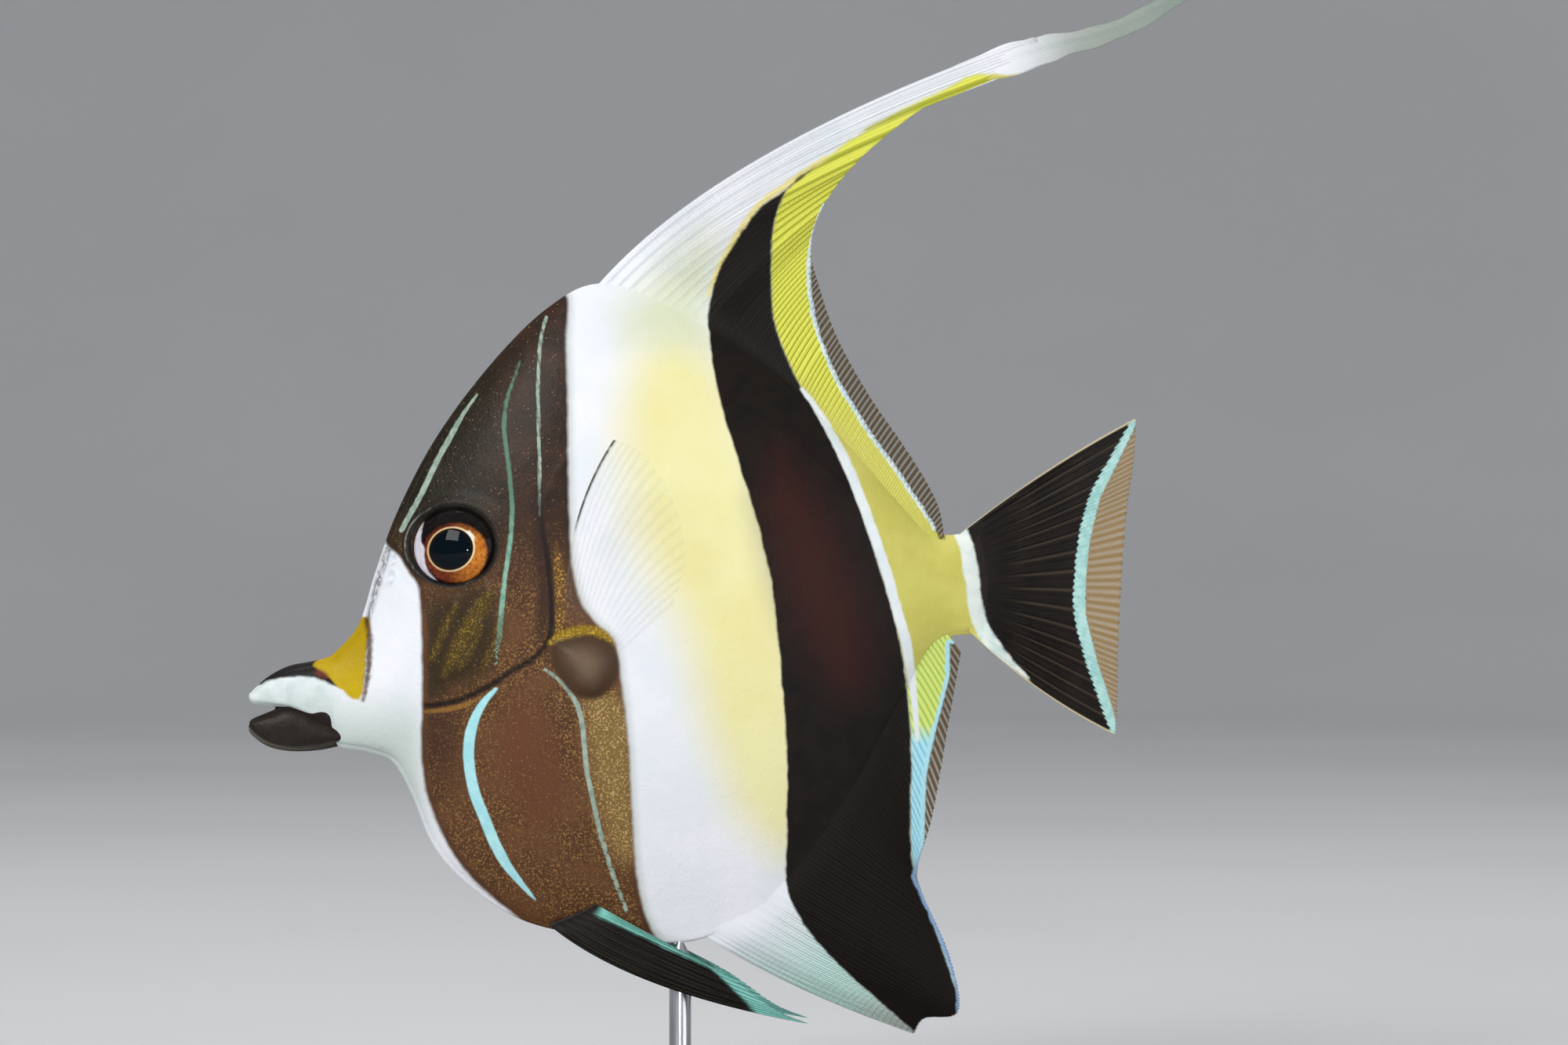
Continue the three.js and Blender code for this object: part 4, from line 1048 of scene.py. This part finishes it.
def mouth_colours(paint, across, up):
    """Snout and jaws."""
    # Painted grey-green shade over the front of the snout, even and in soft patches.
    lip = paint.step(across, -0.07, -0.0745)
    paint.lay("c4d8d2", lip, 0.35)
    paint.lay("b8ccc6", lip, paint.step(paint.noise(3.2, 2), 0.4, 0.7, 0, 0.5))
    paint.mark("191615", "snout_top", 0.35, 0.4, 1.4)
    golden = paint.mix(paint.step(up, 0.098, 0.09), "ac8e04", "ccb20c")
    golden = paint.mix(paint.noise(2.6, 3), golden, "b89a08")
    paint.mark(golden, "saddle", 0.35, 0.4, 1.4)
    paint.mark("682210", "spot", 0.7, 0.3, 1.5, 0.85)
    paint.mark(paint.uneven("603c1c", "3c2616", 1.5), "snout_line", 0.5, 0.5, 1, 0.9)
    jaw = paint.area("jaw", 0.5)
    paint.lay(paint.uneven("2a221b", "1f1914", 3), jaw)
    # A painted pale highlight along the lower edge of the lower jaw.
    paint.lay("807c70", jaw, paint.area("jaw_edge_highlight", 0.3, 0.1, amount=0.6))
    # The inside of the mouth, painted near-black for the shade in the mouth's opening.
    paint.mark("180f0c", "jaw", 0.4, shift=-1.5)


def ray_lines(paint, count, start, end):
    """1 midway between rays and 0 on them, for a number of fine rays in each main ray."""
    place = paint.math("FRACT", paint.both(paint.field("ray"), count))
    return paint.step(paint.math("ABSOLUTE", paint.math("SUBTRACT", place, 0.5)), start, end)


def fin_normal(paint):
    """Fine branching of the rays and their joints as relief, flush at the root."""
    away = paint.step(paint.field("run"), 0.08, 0.3)
    fine = paint.bump(paint.both(ray_lines(paint, 4, 0.5, 0.1), away), 0.09)
    joints = paint.math("FRACT", paint.both(paint.field("rim"), 0.9))
    return paint.bump(paint.both(paint.step(joints, 0, 0.16), away), 0.03, fine)


def clear_margin(paint, name, between, edge, ray, web, least=0.35, web_alpha=0.2):
    """The see-through margin of a fin, clearer in the web than on the rays."""
    paint.lay(paint.mix(between, ray, web), paint.area(name, *edge))
    clear = paint.both(paint.area(name, 0.4), paint.step(between, 0, 1, least, 1))
    paint.put(paint.shader.inputs["Alpha"], paint.step(clear, 0, 1, 1, web_alpha))


def dorsal_material():
    paint = Paint("dorsal_skin", 0.46, Specular_IOR_Level=0.15)
    body_markings(paint)
    across, run = paint.axis("X"), paint.field("run")
    black = paint.area("black", 0.45, 0.5, 1.6)
    pale = paint.flip(black)
    rear = paint.area("rear", 0.8, 0.8, 3)
    fine = ray_lines(paint, 3, 0.12, 0.46)
    streak = paint.both(fine, paint.step(run, 0.1, 0.45), paint.step(across, 0.068, 0.052), 0.5)
    paint.lay(paint.uneven("b0b8b8", "ced1d1", 9), streak, paint.flip(rear), pale)
    shade = paint.mix(paint.step(across, 0.08, 0.12), "a4aca0", "68867c")
    shade = paint.mix(paint.both(paint.noise(3), 0.5), shade, "96a49a")
    paint.lay(shade, paint.step(across, 0.06, 0.084), 0.9)
    lower = paint.step(paint.field("ray"), 12, 15)
    stripe = paint.mix(lower, ray_lines(paint, 1, 0.22, 0.44), ray_lines(paint, 2, 0.2, 0.44))
    rays = paint.mix(stripe, "e4e65c", "a8ac34")
    rays = paint.mix(paint.step(paint.axis("Z"), 0.157, 0.137), rays, "d0cd64")
    paint.lay(paint.mix(paint.step(run, 0.12, 0.4), "ccc568", rays), rear, pale)
    paint.mark("e8d876", "yellow_rim", 0.4, 0.3, 2, 0.8)
    paint.lay(paint.mix(fine, BLACK, BLACK_WEB), black)
    paint.mark("e4ebee", "white_line", 0.3, 0.25, 2)
    between = ray_lines(paint, 2, 0.2, 0.42)
    clear_margin(paint, "clear_dorsal", between, (0.3, 0.4, 1), "564830", "82765c")
    # A painted bluish-white highlight along the rear edge of the yellow, by the clear margin.
    paint.mark(paint.uneven("e2eef0", "c4dee4", 2), "yellow_edge", 0.15, 0.45, 1)
    return paint.done(fin_normal(paint))


def anal_material():
    paint = Paint("anal_skin", 0.46, Specular_IOR_Level=0.15)
    body_markings(paint)
    up, run = paint.axis("Z"), paint.field("run")
    black = paint.area("black", 0.4, 0.5, 2)
    pale = paint.flip(black)
    rays = ray_lines(paint, 2, 0.12, 0.46)
    green = paint.mix(rays, "dae67e", "a8c85c")
    blue = paint.mix(rays, "b2e8f2", "8ac8e2")
    low = paint.step(paint.math("MULTIPLY_ADD", paint.noise(3), 0.002, up), 0.0845, 0.0795)
    paint.lay(paint.mix(low, green, blue), paint.area("rear", 0.5, 0.4), pale)
    fine = ray_lines(paint, 3, 0.1, 0.48)
    aqua = paint.mix(fine, "d2ece8", "92bcb2")
    tips = paint.mix(fine, "cee6e2", "80705c")
    lobe = paint.mix(paint.step(run, 0.7, 0.95), aqua, tips)
    paint.lay(lobe, paint.flip(paint.area("rear", 0.5)), pale, paint.step(run, 0.12, 0.6))
    paint.lay(paint.mix(fine, BLACK, BLACK_WEB), black)
    paint.mark("e4ebee", "white_line", 0.3, 0.25, 2)
    edge = paint.mix(paint.step(up, 0.06, 0.05), "b0e2ee", "8eaed6")
    paint.lay(edge, paint.step(paint.wobbly("clear_anal", 0.5, 1.2), 1.2, 0.6))
    between = ray_lines(paint, 2, 0.2, 0.42)
    clear_margin(paint, "clear_anal", between, (0.25, 0.3, 1), "604e32", "928262")
    return paint.done(fin_normal(paint))


def tail_material():
    paint = Paint("tail_skin", 0.46, Specular_IOR_Level=0.15)
    paint.colour = paint.uneven(*REAR_YELLOW, 8)
    lines = paint.both(ray_lines(paint, 1, 0.36, 0.5), paint.step(paint.field("run"), 0.2, 0.45), 0.35)
    dark = paint.uneven("1a1410", "120e0b", 5)
    paint.mark(paint.mix(lines, dark, "605040"), "tail_black", 0.4)
    paint.mark(paint.uneven("e6ece6", "c8deda", 2), "tail_base", 0.35, 0.4, 2)
    scallops = paint.both(ray_lines(paint, 3, 0.1, 0.45), 0.3)
    band = paint.math("ADD", paint.wobbly("tail_band", 0.35, 1.2), scallops)
    paint.lay(paint.uneven("b4dcd8", "9cccc8", 1.6), paint.step(band, 0.3, -0.1))
    between = ray_lines(paint, 3, 0.1, 0.42)
    clear_margin(paint, "clear_tail", between, (0.25, 0.25, 1.2), "967c56", "c2aa80", 0.25, 0.4)
    from_middle = paint.math("ABSOLUTE", paint.math("SUBTRACT", paint.field("ray"), TAIL["rays"] / 2))
    paint.lay("cec09e", paint.step(from_middle, 8.3, 8.46))
    return paint.done(fin_normal(paint))


def pelvic_material():
    paint = Paint("pelvic_skin", 0.46, Specular_IOR_Level=0.2)
    paint.colour = paint.mix(ray_lines(paint, 1, 0.1, 0.45), "201c17", "11100d")
    ray = paint.math("ADD", paint.field("ray"), paint.noise(4, 2))
    tips = paint.step(paint.math("ADD", paint.field("rim"), ray), 10, 8)
    rear = paint.math("MAXIMUM", paint.step(ray, 4.6, 5.6), tips)
    turquoise = paint.mix(ray_lines(paint, 2, 0.1, 0.46), "9ee2da", "5caa9a")
    paint.lay(turquoise, rear, paint.step(paint.field("run"), 0.04, 0.14))
    return paint.done(fin_normal(paint))


def pectoral_material():
    paint = Paint("pectoral_skin", 0.35)
    run = paint.field("run")
    between = ray_lines(paint, 1, 0.08, 0.34)
    paint.colour = paint.mix(between, "cccab2", "e2e4de")
    broken = paint.step(paint.noise(1.6, 2), 0.3, 0.5, 0.4, 0.9)
    line = paint.both(paint.step(paint.field("ray"), 0.5, 0.25), paint.step(run, 0.5, 0.62), broken)
    paint.lay("403a30", line)
    clear = paint.both(paint.step(between, 0, 1, 0.07, 0.015), paint.step(run, 0.1, 0.4))
    paint.put(paint.shader.inputs["Alpha"], paint.math("MAXIMUM", clear, line))
    return paint.done(fin_normal(paint))


def eye_material():
    paint = Paint("eye", 0.5, Specular_IOR_Level=0, Coat_Weight=0.4, Coat_Roughness=0.02, Coat_IOR=1.33)
    paint.colour = paint.uneven("1a1414", "0f0c0d", 3)
    rear = paint.step(paint.axis("X"), -0.0495, -0.043)
    # Painted shade: the upper part of the iris darkened.
    upper = paint.step(paint.axis("Z"), 0.1205, 0.1235)
    fibres = paint.step(paint.noise(0.8, 4, 0.65), 0.3, 0.7)
    red = paint.mix(fibres, "7e3418", "4a1e10")
    orange = paint.mix(fibres, "d88a36", "9e541c")
    # The iris, red at the front and orange behind, with painted shade darkening its top.
    iris = paint.mix(paint.both(upper, 0.55), paint.mix(rear, red, orange), "401a12")
    paint.mark(iris, "iris", 0.4, 0.3, 1.5)
    paint.mark(paint.uneven("e2dee8", "cecad6", 2), "crescent", 0.22, 0.15, 1)
    rim = paint.mix(rear, "d0b086", "eed8ae")
    paint.mark(rim, "pupil", 0.14, 0.1, 1, shift=0.36)
    # A painted glint on the cream ring at the upper rear edge of the pupil.
    paint.mark("eee6d8", "patch", 0.3, 0.3, 0.8)
    paint.mark("18110a", "pupil", 0.14, shift=0.02)
    paint.mark("040e16", "pupil", 0.3, shift=-0.55)
    return paint.done()


def wood_material():
    paint = Paint("walnut", 0.38, Coat_Weight=0.25, Coat_Roughness=0.2)
    grain = paint.noise(26, 4, 0.6, (0.12, 1, 1))
    rings = paint.math("FRACT", paint.both(grain, 9))
    paint.colour = paint.mix(paint.step(rings, 0.1, 0.9), "42291b", "68442c")
    pores = paint.step(paint.noise(0.7, 2, 0.5, (0.06, 1, 1)), 0.56, 0.68)
    paint.lay("281911", pores, 0.7)
    return paint.done(paint.bump(pores, -0.05))


def steel_material():
    paint = Paint("steel", 0.28, Metallic=1)
    brushed = paint.noise(0.5, 2, 0.5, (1, 1, 0.08))
    paint.colour = paint.mix(brushed, "b0b3b8", "ced0d4")
    return paint.done(paint.bump(brushed, 0.01))


# Set
def aim(thing, place, target):
    """Puts a lamp or the camera at a place, turned to a target."""
    x, y, z = (t - p for p, t in zip(place, target))
    thing.location = [v * MM for v in place]
    thing.rotation_euler = (math.atan2(math.hypot(x, y), -z), 0, math.atan2(-x, y))


def make_camera():
    data = bpy.data.cameras.new("camera")
    data.sensor_width = 36
    data.lens = LENS
    data.clip_end = 20
    camera = added("camera", data)
    aim(camera, CAMERA, (CAMERA[0], 0, CAMERA[2]))
    bpy.context.scene.camera = camera


def make_light():
    """The lamps and a pale sky."""
    for number, (place, target, size, power, colour) in enumerate(LAMPS):
        lamp = bpy.data.lights.new(f"lamp_{number}", "AREA")
        lamp.size = size * MM
        lamp.energy = power
        lamp.color = colour
        aim(added(lamp.name, lamp), place, target)
    world = bpy.data.worlds.new("world")
    world.use_nodes = True
    background = world.node_tree.nodes["Background"]
    background.inputs["Color"].default_value = SKY
    background.inputs["Strength"].default_value = SKY_STRENGTH
    bpy.context.scene.world = world
    bpy.context.scene.view_settings.view_transform = "Standard"


def make_floor():
    """A pale floor that rises all round into a wall."""
    paint = Paint("floor", 0.8)
    paint.colour = paint.uneven("d6d7d9", "d2d3d5", 400.0)
    flat, bend = FLOOR["flat"], FLOOR["bend"]
    profile = [(0, 0), (flat, 0)]
    for angle in np.linspace(0.06, math.pi / 2, 20):
        profile.append((flat + bend * math.sin(angle), bend - bend * math.cos(angle)))
    profile.append((flat + bend, FLOOR["height"]))
    turn = circle(96)
    points = [(r * math.cos(a) * MM, r * math.sin(a) * MM, z * MM) for r, z in profile for a in turn]
    corner_i, corner_k = band_faces(len(profile), len(turn))
    mesh = bpy.data.meshes.new("floor")
    mesh.from_pydata(points, [], (corner_i * len(turn) + corner_k % len(turn)).tolist())
    mesh.shade_smooth()
    mesh.materials.append(paint.done().material)
    added("floor", mesh)


def make_fish():
    """The skin, the fins and the eyes."""
    rings = loft(SKIN, spread(SKIN_COLUMNS), SKIN_ARC)
    flesh = ["head", "torso", "tail_stalk", "upper_jaw", "lower_jaw"]
    mesh_piece("skin", skin_parts(rings), flesh, skin_material())
    dorsal = ["dorsal_fin", "dorsal_fin_rear", "dorsal_filament"]
    mesh_piece("dorsal", dorsal_parts(), dorsal, dorsal_material())
    mesh_piece("anal", [fin_part(ANAL, FULL_MAP)], ["anal_fin"], anal_material())
    mesh_piece("tail", [fin_part(TAIL, FULL_MAP)], ["tail_fin"], tail_material())
    pelvic, pectoral, eye = pelvic_material(), pectoral_material(), eye_material()
    for name, side in (("left", -1), ("right", 1)):
        pelvic_part, pectoral_part = (fin_part(fin, FULL_MAP, side) for fin in (PELVIC, PECTORAL))
        mesh_piece(f"pelvic_{name}", [pelvic_part], [f"pelvic_fin_{name}"], pelvic)
        mesh_piece(f"pectoral_{name}", [pectoral_part], [f"pectoral_fin_{name}"], pectoral)
        mesh_piece(f"eyeball_{name}", [eye_part(side, rings)], [f"eye_{name}"], eye)


make_camera()
make_light()
make_floor()
make_fish()
mesh_piece("base", [base_part()], ["stand_base"], wood_material())
mesh_piece("rod", [rod_part()], ["stand_rod"], steel_material())
